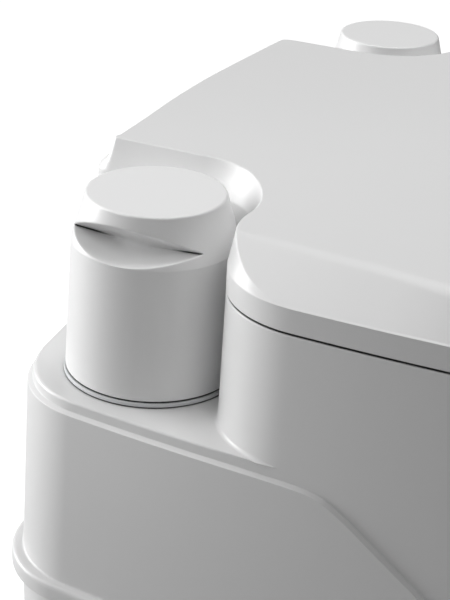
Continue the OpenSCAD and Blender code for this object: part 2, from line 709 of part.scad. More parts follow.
// A tall cap with a conical shoulder and a finger scoop in front. k scales its plan.
module cap_form(k, grow = 0, top = 0) rotate_extrude() polygon([
    [0, -1 * (grow < 0 ? 1 : 0)],
    [knob_r * k + grow, -1 * (grow < 0 ? 1 : 0)],
    [knob_shoulder_r * k + grow, knob_shoulder_h + grow / 2],
    [knob_top_r * k + grow, knob_h + top - 0.8],
    [knob_top_r * k + grow - 1.2, knob_h + top],
    [0, knob_h + top]
]);
// The scoop is the space under a rising plane and over a round floor. grow takes a wall off it.
module scoop(k, grow = 0) intersection() {
    translate([0, 0, knob_shoulder_h + scoop_r]) rotate([90, 0, 0])
        cylinder(r = scoop_r + grow, h = knob_r * 2, $fn = 160);
    translate([0, -scoop_in * k, knob_shoulder_h - 0.3]) rotate([-scoop_angle, 0, 0])
        block([-knob_r * 2, -knob_r * 3, -knob_r * 3], [knob_r * 2, knob_r * 3, grow]);
}
module tall_cap(k) difference() {
    cap_form(k);
    scoop(k);
}
module cap_hollow(k) difference() {
    cap_form(k, -knob_wall, -knob_wall);
    scoop(k, knob_wall);
}
rod_top = knob_z + knob_shoulder_h - 12;
rod_bottom = split_z + 34.5;
piston_z = rod_bottom - 4;
module pump_knob() color(white) at(pump_at) difference() {
    union() {
        difference() {
            translate([0, 0, knob_z]) tall_cap(1);
            translate([0, 0, knob_z]) cap_hollow(1);
        }
        translate([0, 0, rod_top - 14]) cylinder(r = rod_r + 4, h = knob_z + knob_h - 1 - rod_top + 14);
    }
    translate([0, 0, rod_top - 15]) cylinder(r = rod_r, h = 15);
}
barrel_top = shelf_z - 14;
guide_h = knob_z + knob_shoulder_h - 8 - barrel_top;
module pump_collar() color(off_white) at(pump_at) difference() {
    union() {
        translate([0, 0, shelf_z]) cylinder(r = knob_r + 0.8, h = collar_h);
        translate([0, 0, barrel_top]) cylinder(r = guide_r, h = guide_h);
    }
    translate([0, 0, barrel_top + 4]) cylinder(r = guide_r - 2.5, h = guide_h);
    translate([0, 0, barrel_top - 1]) cylinder(r = barrel_r + 3, h = 10);
}
module pump_barrel() color(grey) at(pump_at) {
    difference() {
        union() {
            translate([0, 0, split_z + 12]) cylinder(r = barrel_r + 3, h = barrel_top + 4 - split_z - 12);
            translate([0, 0, barrel_top + 4]) cylinder(r = barrel_r + 7, h = 2.5);
            translate([0, hose_y + pump_y, hose_z]) rotate([0, 90, 0]) cylinder(r = hose_bore - 0.1, h = 36);
        }
        translate([0, 0, split_z + 15]) cylinder(r = barrel_r, h = barrel_top - split_z);
        translate([0, hose_y + pump_y, hose_z]) rotate([0, 90, 0]) cylinder(r = 3.5, h = 40);
        translate([0, 0, split_z + 5]) cylinder(r = 9, h = 20);
    }
}
module rod_guide() color(off_white) at(pump_at, barrel_top - 2) difference() {
    union() {
        cylinder(r = barrel_r - 0.1, h = 8.5);
        translate([0, 0, 8.5]) cylinder(r = barrel_r + 5, h = 2.5);
    }
    translate([0, 0, -1]) cylinder(r = rod_r + run_clear, h = 30);
}
module pump_rod() color(steel) at(pump_at, rod_bottom) cylinder(r = rod_r, h = rod_top - rod_bottom);
module pump_piston() color(grey) at(pump_at, piston_z) difference() {
    cylinder(r = barrel_r - 0.8, h = 12);
    translate([0, 0, 4]) difference() {
        cylinder(r = barrel_r + 2, h = 4);
        cylinder(r = barrel_r - 3.6, h = 4);
    }
    translate([0, 0, 4]) cylinder(r = rod_r, h = 20);
}
module piston_seal() color(dark) at(pump_at, piston_z + 6) rotate_extrude()
    translate([barrel_r - 1.9, 0]) circle(r = 1.7, $fn = 24);
module inlet_valve() color(dark) at(pump_at, split_z + 15) cylinder(r = 11, h = 1.5);
module inlet_strainer() color(grey) at(pump_at, split_z + tank_wall) difference() {
    cylinder(r = 14, h = 12 - tank_wall);
    translate([0, 0, 2]) cylinder(r = 9, h = 20);
    for (i = [0:7]) rotate(45 * i) translate([12, 0, 4.5]) rotate([0, 90, 0])
        cylinder(r = 2, h = 10, center = true, $fn = 24);
}
// The hose runs along the tank's floor, up in front of the bowl and back to its rim.
hose_start = -pump_x + barrel_r + 4;
module hose_piece(len) tube(hose_r, hose_bore, len);
module hose_elbow() rotate_extrude(angle = 90) translate([hose_bend, 0]) difference() {
    circle(r = hose_r, $fn = 36);
    circle(r = hose_bore, $fn = 36);
}
module flush_hose() color(clear) {
    translate([hose_start, hose_y, hose_z]) rotate([0, 90, 0]) hose_piece(hose_up_x - hose_bend - hose_start);
    translate([hose_up_x - hose_bend, hose_y, hose_z + hose_bend])
        rotate([90, 0, 0]) rotate(-90) hose_elbow();
    translate([hose_up_x, hose_y, hose_z + hose_bend]) hose_piece(nozzle_z - hose_z - 2 * hose_bend);
    translate([hose_up_x, hose_y + hose_bend, nozzle_z - hose_bend])
        rotate([0, 90, 0]) rotate(180) hose_elbow();
    translate([hose_up_x, hose_y + hose_bend, nozzle_z]) rotate([-90, 0, 0]) hose_piece(hose_end);
}
nozzle_y = hose_y + hose_bend;
module flush_nozzle() color(off_white) translate([hose_up_x, 0, nozzle_z]) difference() {
    union() {
        translate([0, nozzle_y + 0.5, 0]) rotate([-90, 0, 0]) cylinder(r = hose_bore - 0.05, h = 25.5);
        translate([0, nozzle_y + 23, 0]) rotate([-90, 0, 0]) cylinder(r = 9, h = 3);
    }
    translate([0, nozzle_y - 9, 0]) rotate([-90, 0, 0]) cylinder(r = 3.5, h = 33);
    translate([-20, nozzle_y + 21, -1.5]) cube([40, 3, 3]);
}

// Filler
fill_k = cap_r / knob_r;
neck_out = neck_r + 3;
neck_top = shelf_z + neck_h;
module fill_neck() color(off_white) at(fill_at) difference() {
    union() {
        translate([0, 0, shelf_z]) cylinder(r = cap_r + 0.8, h = collar_h);
        translate([0, 0, shelf_z - 20]) cylinder(r = neck_out, h = 20 + neck_h);
    }
    translate([0, 0, shelf_z - 30]) cylinder(r = neck_r, h = 100);
}
module fill_cap() color(white) at(fill_at) {
    difference() {
        translate([0, 0, knob_z]) tall_cap(fill_k);
        difference() {
            translate([0, 0, knob_z]) cap_hollow(fill_k);
            translate([0, 0, knob_z]) cylinder(r = neck_out + 2.8, h = neck_top + 4.5 - knob_z);
            for (a = [0, 90]) rotate(a) block([-1.25, -cap_r, knob_z + 12], [1.25, cap_r, total_h]);
        }
        translate([0, 0, knob_z - 1]) cylinder(r = neck_out + 0.4, h = neck_top + 2 - knob_z + 1);
    }
}
module fill_cap_seal() color(dark) at(fill_at, neck_top) tube(neck_out, neck_r, 2);

tank_buffer_at = [
    [-waste_w / 2 + 47, -waste_d / 2 + 59], [waste_w / 2 - 47, -waste_d / 2 + 59],
    [-waste_w / 2 + 47, waste_d / 2 - 69], [waste_w / 2 - 39, 62]
];
module tank_buffers() color(dark) for (p = tank_buffer_at) at(p, split_z - tank_gap)
    cylinder(r = 8, h = tank_gap);

// Waste tank
waste_top = split_z - tank_gap;
valve_floor = waste_top - 2 * plate_t - blade_t - 2 * blade_clear - 12;
blade_z = valve_floor + plate_t + blade_clear + 4;
cover_z = blade_z + blade_t + blade_clear;
valve_half_w = blade_w / 2 + blade_clear + rail_w;
valve_back = outlet_at.y + blade_w / 2 + 12;
valve_front = outlet_at.y - blade_w / 2 - blade_travel - 6;
grip_back = -waste_d / 2 + 8;
grip_z = [valve_floor + 1, waste_top - 3];
pocket_z = waste_top - pocket_h;
pocket_from = [-spout_reach + spout_x - 26, spout_y - spout_r - 12];
pocket_to_x = spout_x + 46;
vent_at = [spout_x + 27, spout_y + 34];

module waste_outside(inset, low, high) {
    d = waste_draft;
    loft([
        ring(plain(waste_w / 2 - d, waste_d / 2 - d), 11 + inset * 0.7, low),
        ring(plain(waste_w / 2 - d, waste_d / 2 - d), 4 + inset, low + 3),
        ring(plain(waste_w / 2 - d, waste_d / 2 - d), inset, low + 11),
        ring(plain(waste_w / 2, waste_d / 2), inset, high - 4),
        ring(plain(waste_w / 2, waste_d / 2), 3 + inset, high)
    ]);
}
// Everything that is sunk into the waste tank. grow adds a wall around it.
module waste_sunk(grow) {
    at(outlet_at - [0, outlet_at.y]) block(
        [-valve_half_w - 1 - grow, valve_front - 1 - grow, valve_floor - grow],
        [valve_half_w + 1 + grow, valve_back + 1 + grow, split_z + 9]
    );
    block(
        [bowl_x - 18 - grow, -waste_d / 2 + 12, blade_z - 3 - grow],
        [bowl_x + 18 + grow, valve_front, split_z + 9]
    );
    block(
        [bowl_x - grip_w / 2 - 8 - grow, -waste_d, valve_floor - 8 - grow],
        [bowl_x + grip_w / 2 + 8 + grow, -waste_d / 2 + 24 + grow, split_z + 9]
    );
    block(
        [pocket_from.x - grow, pocket_from.y - grow, pocket_z - grow],
        [pocket_to_x + grow, waste_d, split_z + 9]
    );
    for (s = [-1, 1]) latch_pocket(s, grow);
}
module waste_tank() color(white) difference() {
    waste_outside(0, foot_h, waste_top);
    difference() {
        waste_outside(waste_wall, foot_h + waste_wall, waste_top - waste_wall);
        waste_sunk(waste_wall);
        for (p = foot_at) at(p, 0) cylinder(r = foot_r + 3, h = foot_h + 3 + waste_wall);
    }
    waste_sunk(0);
    at(outlet_at, valve_floor - 10) cylinder(r = outlet_r, h = 20);
    at(spout_at, pocket_z - 10) cylinder(r = spout_r - spout_wall, h = 20);
    at(vent_at, pocket_z - 10) cylinder(r = 4, h = 20);
    latch_screw_places() translate([0, 0, -0.5]) cylinder(r = latch_screw_r + screw_clear, h = 5);
    for (p = foot_at) at(p, -1) cylinder(r = foot_r, h = foot_h + 4);
    translate([window_at.x, -waste_d, window_at.y]) rotate([-90, 0, 0])
        cylinder(r = window_r, h = waste_d / 2 + 30);
}
foot_at = [for (x = [-1, 1]) for (y = [-1, 1]) [x * (waste_w / 2 - 46), y * (waste_d / 2 - 46)]];
module feet() color(dark) for (p = foot_at) at(p, 0) cylinder(r = foot_r - 0.2, h = foot_h + 3);

window_at = [waste_w / 2 - 57, 120];
window_r = 13;
module level_window() color(clear) translate([window_at.x, -waste_d / 2 + 7, window_at.y]) rotate([-90, 0, 0])
    cylinder(r = window_r - 0.2, h = 8);

// Slide valve
module valve_holes(z, h, r) for (s = [-1, 1]) for (i = [0:3]) let (
    x = outlet_at.x + s * (valve_half_w - rail_w / 2),
    y = valve_front + 8 + i * (valve_back - valve_front - 16) / 3
) translate([x, y, z]) cylinder(r = r, h = h);
module valve_housing() color(off_white) difference() {
    block(
        [outlet_at.x - valve_half_w, valve_front, valve_floor],
        [outlet_at.x + valve_half_w, valve_back, cover_z]
    );
    block(
        [outlet_at.x - blade_w / 2 - blade_clear, valve_front - 1, blade_z - blade_clear],
        [outlet_at.x + blade_w / 2 + blade_clear, outlet_at.y + blade_w / 2 + 4, cover_z + 1]
    );
    at(outlet_at, valve_floor - 1) cylinder(r = outlet_r, h = 30);
    valve_holes(valve_floor - 1, 40, 1.5);
}
module valve_cover() color(off_white) difference() {
    block(
        [outlet_at.x - valve_half_w, valve_front, cover_z],
        [outlet_at.x + valve_half_w, valve_back, cover_z + plate_t]
    );
    at(outlet_at, cover_z - 1) cylinder(r = outlet_r + 4, h = 30);
    valve_holes(cover_z - 1, 40, 1.8);
}
module valve_seal() color(dark) at(outlet_at, cover_z) difference() {
    union() {
        cylinder(r = outlet_r + 3.9, h = plate_t);
        translate([0, 0, plate_t]) cylinder(r = outlet_r + blade_over, h = split_z - 4.5 - cover_z - plate_t);
    }
    translate([0, 0, -1]) cylinder(r = outlet_r, h = 40);
}
module valve_blade() color(grey) {
    block(
        [outlet_at.x - blade_w / 2, outlet_at.y - blade_w / 2, blade_z],
        [outlet_at.x + blade_w / 2, outlet_at.y + blade_w / 2, blade_z + blade_t]
    );
    block(
        [outlet_at.x - 14, grip_back, blade_z],
        [outlet_at.x + 14, outlet_at.y - blade_w / 2 + 1, blade_z + blade_t]
    );
}
module valve_handle() color(grey) difference() {
    union() {
        block(
            [outlet_at.x - grip_w / 2, grip_back - 6, grip_z[0]],
            [outlet_at.x + grip_w / 2, grip_back, grip_z[1]]
        );
        block(
            [outlet_at.x - 17, grip_back - 1, blade_z - 2.5],
            [outlet_at.x + 17, grip_back + 24, blade_z + blade_t + 2.5]
        );
    }
    block([outlet_at.x - 14, grip_back, blade_z], [outlet_at.x + 14, grip_back + 30, blade_z + blade_t]);
}
module valve_screws() color(steel) {
    valve_holes(valve_floor + 2, cover_z + plate_t - valve_floor - 2, 1.5);
    valve_holes(cover_z + plate_t, 2, 3);
}

// Spout
collar_rise = 10;
spout_axis_z = pocket_z + collar_rise + spout_bend;
// A pipe of radius r that comes up from the pocket's floor, bends and runs on. more lengthens both ends.
module spout_pipe(r, more) {
    translate([0, 0, pocket_z - more]) cylinder(r = r, h = spout_axis_z - spout_bend - pocket_z + more);
    translate([-spout_bend, 0, spout_axis_z - spout_bend]) rotate([90, 0, 0]) rotate_extrude(angle = 90)
        translate([spout_bend, 0]) circle(r = r);
    translate([-spout_bend, 0, spout_axis_z]) rotate([0, -90, 0])
        cylinder(r = r, h = spout_reach - spout_bend + more);
}
module spout() color(grey) at(spout_at) difference() {
    union() {
        translate([0, 0, pocket_z]) cylinder(r = spout_r + 4, h = 4);
        spout_pipe(spout_r, 0);
    }
    spout_pipe(spout_r - spout_wall, 1);
}
module spout_collar() color(off_white) at(spout_at, pocket_z) difference() {
    cylinder(r = spout_r + 7, h = collar_rise);
    translate([0, 0, -1]) cylinder(r = spout_r + 4.3, h = 5.3);
    translate([0, 0, -1]) cylinder(r = spout_r + 0.3, h = 20);
    translate([0, 0, 5.4]) cylinder(r = spout_r + 3.2, h = 3);
}
module spout_seal() color(dark) at(spout_at, pocket_z + 6.9) rotate_extrude()
    translate([spout_r + 1.75, 0]) circle(r = 1.4, $fn = 32);
module at_mouth() at(spout_at, spout_axis_z) rotate([0, -90, 0]) translate([0, 0, spout_reach]) children();
module spout_cap() color(grey) at_mouth() difference() {
    translate([0, 0, -20]) cylinder(r = spout_r + 3.5, h = 25);
    translate([0, 0, -21]) cylinder(r = spout_r + 0.4, h = 23);
}
module spout_cap_seal() color(dark) at_mouth() tube(spout_r, spout_r - spout_wall, 2);
module vent_button() color(grey) at(vent_at, pocket_z) {
    translate([0, 0, 8]) cylinder(r = 7, h = 4);
    translate([0, 0, -waste_wall - 6]) cylinder(r = 3, h = 15 + waste_wall);
}
module vent_seal() color(dark) at(vent_at, pocket_z - waste_wall - 2.5) tube(5.5, 3, 2);
module vent_ring() color(off_white) at(vent_at, pocket_z) difference() {
    cylinder(r = 9.5, h = 3.5);
    translate([0, 0, -1]) cylinder(r = 3.3, h = 20);
}

// Side latches: a plate that swings on a pin in the waste tank and hooks over the flange
latch_pin_z = split_z - latch_drop;
latch_x = flange_w / 2 - 8;
latch_in = flange_w / 2 - latch_t + 0.4;
latch_knuckle_r = latch_in - latch_x - 0.4;
latch_pin_r = 2;
latch_screw_r = 1.5;
// The bracket's webs stay clear of the plate's lower edge when the latch is open.
latch_web_low = latch_knuckle_r - 1.8;
// Knuckles, screws and pin take their places from the latch's width.
latch_unit = latch_w / 14;
hook_z = foot_z + 0.8;
// The flange is trimmed behind the latch, and the wall above it makes room for the hook.
module latch_room(s) mirror([s < 0 ? 1 : 0, 0, 0]) {
    block(
        [flange_w / 2 - latch_t + 0.1, -latch_w / 2 - 1, split_z - 1],
        [flange_w, latch_w / 2 + 1, foot_z + 12]
    );
    block([flange_w / 2 - 7.5, -latch_w / 2 - 1, foot_z], [flange_w, latch_w / 2 + 1, foot_z + 12]);
}
module latch_pocket(s, grow) mirror([s < 0 ? 1 : 0, 0, 0]) block(
    [flange_w / 2 - 22 - grow, -latch_w / 2 - 2 - grow, latch_pin_z - 14 - grow],
    [flange_w, latch_w / 2 + 2 + grow, split_z + 9]
);
// A knuckle on the latch's pin, from y over the width w, with a web that runs to x and reaches low below the pin
module latch_knuckle(y, w, x, low) {
    translate([latch_x, y, latch_pin_z]) rotate([-90, 0, 0]) cylinder(r = latch_knuckle_r, h = w);
    block(
        [min(x, latch_x), y, latch_pin_z - low],
        [max(x, latch_x), y + w, latch_pin_z + latch_knuckle_r]
    );
}
module latch_bore(r) translate([latch_x, -latch_w / 2 - 1, latch_pin_z]) rotate([-90, 0, 0])
    cylinder(r = r, h = latch_w + 2);
module latch_screw_places() for (m = [0, 1]) mirror([m, 0, 0]) for (s = [-1, 1])
    translate([flange_w / 2 - 24, s * 2.75 * latch_unit, latch_pin_z + 8]) rotate([0, 90, 0]) children();
module latch_right() color(off_white) difference() {
    union() {
        block([latch_in, -latch_w / 2, latch_pin_z - 8], [flange_w / 2, latch_w / 2, hook_z + 5]);
        block([flange_w / 2 - 7, -latch_w / 2, hook_z], [flange_w / 2, latch_w / 2, hook_z + 5]);
        for (y = [-4, 2]) latch_knuckle(y * latch_unit, 2 * latch_unit, flange_w / 2 - 1, latch_knuckle_r);
    }
    latch_bore(latch_pin_r + run_clear);
}
module latch_left() mirror([1, 0, 0]) latch_right();
module latch_bracket_right() color(grey) difference() {
    union() {
        block(
            [flange_w / 2 - 22, -6.5 * latch_unit, latch_pin_z - 12],
            [flange_w / 2 - 19, 6.5 * latch_unit, latch_pin_z + 12]
        );
        for (k = [[-6, 1.5], [-1, 2], [4.5, 1.5]])
            latch_knuckle(k[0] * latch_unit, k[1] * latch_unit, flange_w / 2 - 20, latch_web_low);
    }
    latch_bore(latch_pin_r);
    latch_screw_places() translate([0, 0, -1]) cylinder(r = latch_screw_r + screw_clear, h = 9);
}
module latch_bracket_left() mirror([1, 0, 0]) latch_bracket_right();
module latch_pin_right() color(steel) translate([latch_x, -6.25 * latch_unit, latch_pin_z])
    rotate([-90, 0, 0]) cylinder(r = latch_pin_r, h = 12.5 * latch_unit);
module latch_pin_left() mirror([1, 0, 0]) latch_pin_right();
module latch_screws() color(steel) latch_screw_places() {
    cylinder(r = latch_screw_r, h = 5);
    translate([0, 0, 5]) cylinder(r = 2.8, h = 1.5);
}

flush_tank();
bowl();
seat();
seat_buffers();
lid();
lid_buffers();
hinge_bracket_left();
hinge_bracket_right();
hinge_pin_left();
hinge_pin_right();
hinge_screws();
pump_knob();
pump_collar();
pump_rod();
pump_piston();
piston_seal();
pump_barrel();
rod_guide();
inlet_valve();
inlet_strainer();
flush_hose();
flush_nozzle();
fill_neck();
fill_cap();
fill_cap_seal();
tank_buffers();
waste_tank();
feet();
valve_housing();
valve_cover();
valve_seal();
valve_blade();
valve_handle();
valve_screws();
spout();
spout_collar();
spout_seal();
spout_cap();
spout_cap_seal();
vent_button();
vent_seal();
vent_ring();
level_window();
latch_left();
latch_right();
latch_bracket_left();
latch_bracket_right();
latch_pin_left();
latch_pin_right();
latch_screws();
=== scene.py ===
"""Portable toilet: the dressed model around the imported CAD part.

Lengths are in millimetres, and MM turns them into metres. The lights, the floor, the camera's
clipping and the welding distance are given in metres.
"""

import json
import math

import bmesh
import bpy
import numpy as np
from mathutils import Matrix, Vector


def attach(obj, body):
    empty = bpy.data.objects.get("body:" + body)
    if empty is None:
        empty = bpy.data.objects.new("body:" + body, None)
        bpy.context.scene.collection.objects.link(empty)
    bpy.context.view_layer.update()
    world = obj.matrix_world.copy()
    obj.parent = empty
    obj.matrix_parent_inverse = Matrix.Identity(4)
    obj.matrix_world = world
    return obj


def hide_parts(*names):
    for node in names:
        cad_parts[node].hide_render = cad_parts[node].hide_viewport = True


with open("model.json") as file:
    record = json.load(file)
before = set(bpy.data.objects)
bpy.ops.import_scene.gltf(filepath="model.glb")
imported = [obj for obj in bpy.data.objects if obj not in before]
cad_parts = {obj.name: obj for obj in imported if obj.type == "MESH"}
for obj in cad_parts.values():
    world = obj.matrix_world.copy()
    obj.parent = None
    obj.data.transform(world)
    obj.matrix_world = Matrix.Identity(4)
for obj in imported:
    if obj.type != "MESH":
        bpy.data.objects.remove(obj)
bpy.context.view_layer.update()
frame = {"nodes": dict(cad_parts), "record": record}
scene = bpy.context.scene
MM = 0.001

# Camera
CAMERA_LENS = 102.0
CAMERA_AZIMUTH = 25.0
CAMERA_ELEVATION = 25.05
CAMERA_ROLL = -0.046
# A point on the pump's axis, and its place in the camera's frame, counted right, down and away
AIM_AT = np.array([-115.0, -144.0, 322.5])
AIM_IN_CAMERA = np.array([-37.97, 32.31, 886.19]) * 0.95


def make_camera():
    az, el = math.radians(CAMERA_AZIMUTH), math.radians(CAMERA_ELEVATION)
    forward = np.array([-math.sin(az) * math.cos(el), math.cos(az) * math.cos(el), -math.sin(el)])
    right = np.array([math.cos(az), math.sin(az), 0.0])
    down = np.cross(forward, right)
    c, s = math.cos(CAMERA_ROLL), math.sin(CAMERA_ROLL)
    rows = np.array([c * right + s * down, -s * right + c * down, forward])
    place = (AIM_AT - rows.T @ AIM_IN_CAMERA) * MM
    data = bpy.data.cameras.new("camera")
    data.lens = CAMERA_LENS
    data.sensor_width = 36.0
    data.sensor_fit = "AUTO"
    data.clip_start, data.clip_end = 0.05, 50.0
    data.dof.use_dof = False
    cam = bpy.data.objects.new("camera", data)
    scene.collection.objects.link(cam)
    turn_to = Matrix((rows[0], -rows[1], -rows[2])).transposed().to_4x4()
    cam.matrix_world = Matrix.Translation(Vector(place)) @ turn_to
    scene.camera = cam


make_camera()

# Sizes, as in the part's source
FLANGE_W, FLANGE_D = 383.0, 427.0
DECK_W, DECK_D = 363.0, 400.0
BOW_FRONT, BOW_SIDE, CORNER = 1300.0, 1200.0, 50.0
FOOT_H, SPLIT_Z, SHELF_Z, DECK_Z, TOTAL_H = 3.0, 210.5, 320.0, 385.0, 414.0
LIP_H, LIP_STEP, PANEL_STEP, PANEL_DROP = 9.5, 4.8, 2.5, 5.0
DIVE_X, DIVE_ANGLE, PANEL_FOOT, DIVE_ROUND = 2.0, 37.0, 18.0, 9.0
PUMP = np.array([-115.0, -144.0])
FILL = np.array([-118.0, 169.5])
PUMP_NOTCH, FILL_NOTCH, NOSE, BACK_NOSE, EAR = 46.5, 42.0, 50.0, 18.0, 12.0
LID_Z, LID_WALL = DECK_Z + 1.2, 2.8
SEAT_Z, SEAT_T, SEAT_IN, SEAT_FRONT_IN, SEAT_WALL = 389.0, 13.0, 7.0, 7.0, 3.0
HOLE_W, HOLE_D = 206.0, 250.0
BOWL_W, BOWL_D, BOWL_X, BOWL_WALL, RIM_W = 216.0, 260.0, 10.0, 2.5, 7.0
OUTLET_R, OUTLET_Y, BOWL_CLEAR = 45.0, 15.0, 1.5
HINGE_Y, HINGE_Z, HINGE_XS = 184.0, 397.0, (-38.0, 118.0)
HINGE_FRONT, HINGE_FLOOR = 167.6, 375.0
BRACKET_FRONT = 158.7
KNUCKLE_W, KNUCKLE_R, SIDE_CLEAR, EAR_HALF = 8.0, 6.5, 0.5, 4.0
KNOB_R, KNOB_SHOULDER, KNOB_TOP = 42.8, 40.5, 33.8
SHOULDER_H, COLLAR_H, KNOB_GAP, GUIDE_R = 66.5, 2.4, 0.6, 37.0
KNOB_Z = SHELF_Z + COLLAR_H + KNOB_GAP
KNOB_H = TOTAL_H - 0.5 - KNOB_Z
SCOOP_R, SCOOP_ANGLE, SCOOP_IN = 110.0, 33.2, 8.6
CAP_R, NECK_R, NECK_H = 38.5, 25.0, 30.0
WASTE_W, WASTE_D, WASTE_DRAFT, WASTE_TOP = 374.0, 418.0, 3.0, 209.5
VALVE_FLOOR, BLADE_Z, VALVE_HALF, VALVE_BACK, VALVE_FRONT = 185.8, 194.15, 65.35, 79.0, -147.0
GRIP_W = 84.0
SPOUT = np.array([120.0, 150.0])
VENT_OFF = np.array([27.0, 34.0])
SPOUT_R, SPOUT_WALL, SPOUT_REACH, POCKET_Z = 26.0, 3.0, 148.0, 135.5
LATCH_W, LATCH_T, LATCH_PIN_Z = 56.0, 3.6, 184.5
WINDOW_X, WINDOW_Z, WINDOW_R = 130.0, 120.0, 13.0
FOOT_Z = SPLIT_Z + LIP_H
FOOT_HALF_W = FLANGE_W / 2 - LIP_STEP - PANEL_STEP
FOOT_HALF_D = FLANGE_D / 2 - LIP_STEP - PANEL_STEP
BOWL = np.array([BOWL_X, 0.0])
OUTLET = np.array([BOWL_X, OUTLET_Y])


def half_w(z):
    return DECK_W / 2 + (FOOT_HALF_W - DECK_W / 2) * (DECK_Z - z) / (DECK_Z - FOOT_Z)


def half_d(z):
    return DECK_D / 2 + (FOOT_HALF_D - DECK_D / 2) * (DECK_Z - z) / (DECK_Z - FOOT_Z)


# Outlines: each sample is x, y, outward x, outward y
DENSE = 5
N_NOSE, N_FRONT, N_CORNER, N_SIDE, N_BACK = 6, 12, 7, 4, 11
N_BACK_NOSE, N_BACK_NOTCH, N_LINE, N_EAR, N_LEFT, N_NOTCH = 4, 9, 2, 4, 5, 12


def arc(c, r, a0, a1, n, s=1.0):
    a = np.radians(a0 + (a1 - a0) * np.arange(n * DENSE) / (n * DENSE))
    ca, sa = np.cos(a), np.sin(a)
    return np.stack([c[0] + r * ca, c[1] + r * sa, s * ca, s * sa], 1)


def straight(p, q, way, n):
    t = (np.arange(n * DENSE) / (n * DENSE))[:, None]
    k = np.array(p) + (np.array(q) - np.array(p)) * t
    return np.concatenate([k, np.tile(way, (len(k), 1))], 1)


def turn(v):
    return math.degrees(math.atan2(v[1], v[0]))


def after(a, a0):
    return a + 360 if a < a0 else a


def meet(c1, r1, c2, r2, side):
    c1, c2 = np.array(c1), np.array(c2)
    d = np.linalg.norm(c2 - c1)
    a = (r1 * r1 - r2 * r2 + d * d) / (2 * d)
    h = math.sqrt(max(0.0, r1 * r1 - a * a))
    u = (c2 - c1) / d
    return c1 + a * u + side * h * np.array([-u[1], u[0]])


def front_c(hd):
    return np.array([0, BOW_FRONT - hd])


def back_c(hd):
    return np.array([0, hd - BOW_FRONT])


def right_c(hw):
    return np.array([hw - BOW_SIDE, 0])


def left_c(hw):
    return np.array([BOW_SIDE - hw, 0])


def nose_at(hd):
    return meet(PUMP, PUMP_NOTCH + NOSE, front_c(hd), BOW_FRONT - NOSE, -1)


def back_nose_at(hd):
    return meet(FILL, FILL_NOTCH + BACK_NOSE, back_c(hd), BOW_FRONT - BACK_NOSE, 1)


def corner_at(c1, r1, c2, r2):
    return meet(c1, r1 - CORNER, c2, r2 - CORNER, 1)


def ear_at(hw, y):
    return np.array([left_c(hw)[0] - math.sqrt((BOW_SIDE - EAR) ** 2 - y * y), y])


def front_ear(hw):
    return ear_at(hw, PUMP[1] + PUMP_NOTCH + EAR)


def back_ear(hw):
    return ear_at(hw, FILL[1] - FILL_NOTCH - EAR)


def shared_right(hw, hd):
    cf, cb, cr = front_c(hd), back_c(hd), right_c(hw)
    fr = corner_at(cf, BOW_FRONT, cr, BOW_SIDE)
    br = corner_at(cr, BOW_SIDE, cb, BOW_FRONT)
    return [
        arc(cf, BOW_FRONT, turn(nose_at(hd) - cf), turn(fr - cf), N_FRONT),
        arc(fr, CORNER, turn(fr - cf), turn(fr - cr), N_CORNER),
        arc(cr, BOW_SIDE, turn(fr - cr), turn(br - cr), N_SIDE),
        arc(br, CORNER, turn(br - cr), turn(br - cb), N_CORNER),
        arc(cb, BOW_FRONT, turn(br - cb), turn(back_nose_at(hd) - cb), N_BACK),
    ]


def notched(hw, hd):
    n1, n2, k1, k2, cl = nose_at(hd), back_nose_at(hd), front_ear(hw), back_ear(hw), left_c(hw)
    nose_a = after(turn(PUMP - n1), 0)
    nose_b = after(turn(n1 - front_c(hd)), nose_a)
    back_a = turn(n2 - back_c(hd))
    back_b = after(turn(FILL - n2), back_a)
    return np.concatenate(
        [arc(n1, NOSE, nose_a, nose_b, N_NOSE)]
        + shared_right(hw, hd)
        + [
            arc(n2, BACK_NOSE, back_a, back_b, N_BACK_NOSE),
            arc(FILL, FILL_NOTCH, turn(n2 - FILL), -90, N_BACK_NOTCH, -1),
            straight(FILL - [0, FILL_NOTCH], k2 + [0, EAR], [0, 1], N_LINE),
            arc(k2, EAR, 90, turn(k2 - cl), N_EAR),
            arc(cl, BOW_SIDE, turn(k2 - cl), after(turn(k1 - cl), 0), N_LEFT),
            arc(k1, EAR, after(turn(k1 - cl), 0), 270, N_EAR),
            straight(k1 - [0, EAR], PUMP + [0, PUMP_NOTCH], [0, -1], N_LINE),
            arc(PUMP, PUMP_NOTCH, 90, turn(n1 - PUMP), N_NOTCH, -1),
        ]
    )


def plain(hw, hd):
    cf, cb, cl, cr = front_c(hd), back_c(hd), left_c(hw), right_c(hw)
    fl = corner_at(cl, BOW_SIDE, cf, BOW_FRONT)
    bl = corner_at(cb, BOW_FRONT, cl, BOW_SIDE)
    marks = [bl, back_ear(hw), front_ear(hw), fl]
    left = [after(turn(mark - cl), 0) for mark in marks]
    return np.concatenate(
        [arc(cf, BOW_FRONT, turn(fl - cf), turn(nose_at(hd) - cf), N_NOSE)]
        + shared_right(hw, hd)
        + [
            arc(cb, BOW_FRONT, turn(back_nose_at(hd) - cb), turn(bl - cb), N_BACK_NOSE),
            arc(bl, CORNER, turn(bl - cb), left[0], N_BACK_NOTCH + N_LINE),
            arc(cl, BOW_SIDE, left[0], left[1], N_EAR),
            arc(cl, BOW_SIDE, left[1], left[2], N_LEFT),
            arc(cl, BOW_SIDE, left[2], left[3], N_EAR),
            arc(fl, CORNER, left[3], after(turn(fl - cf), 0), N_LINE + N_NOTCH),
        ]
    )


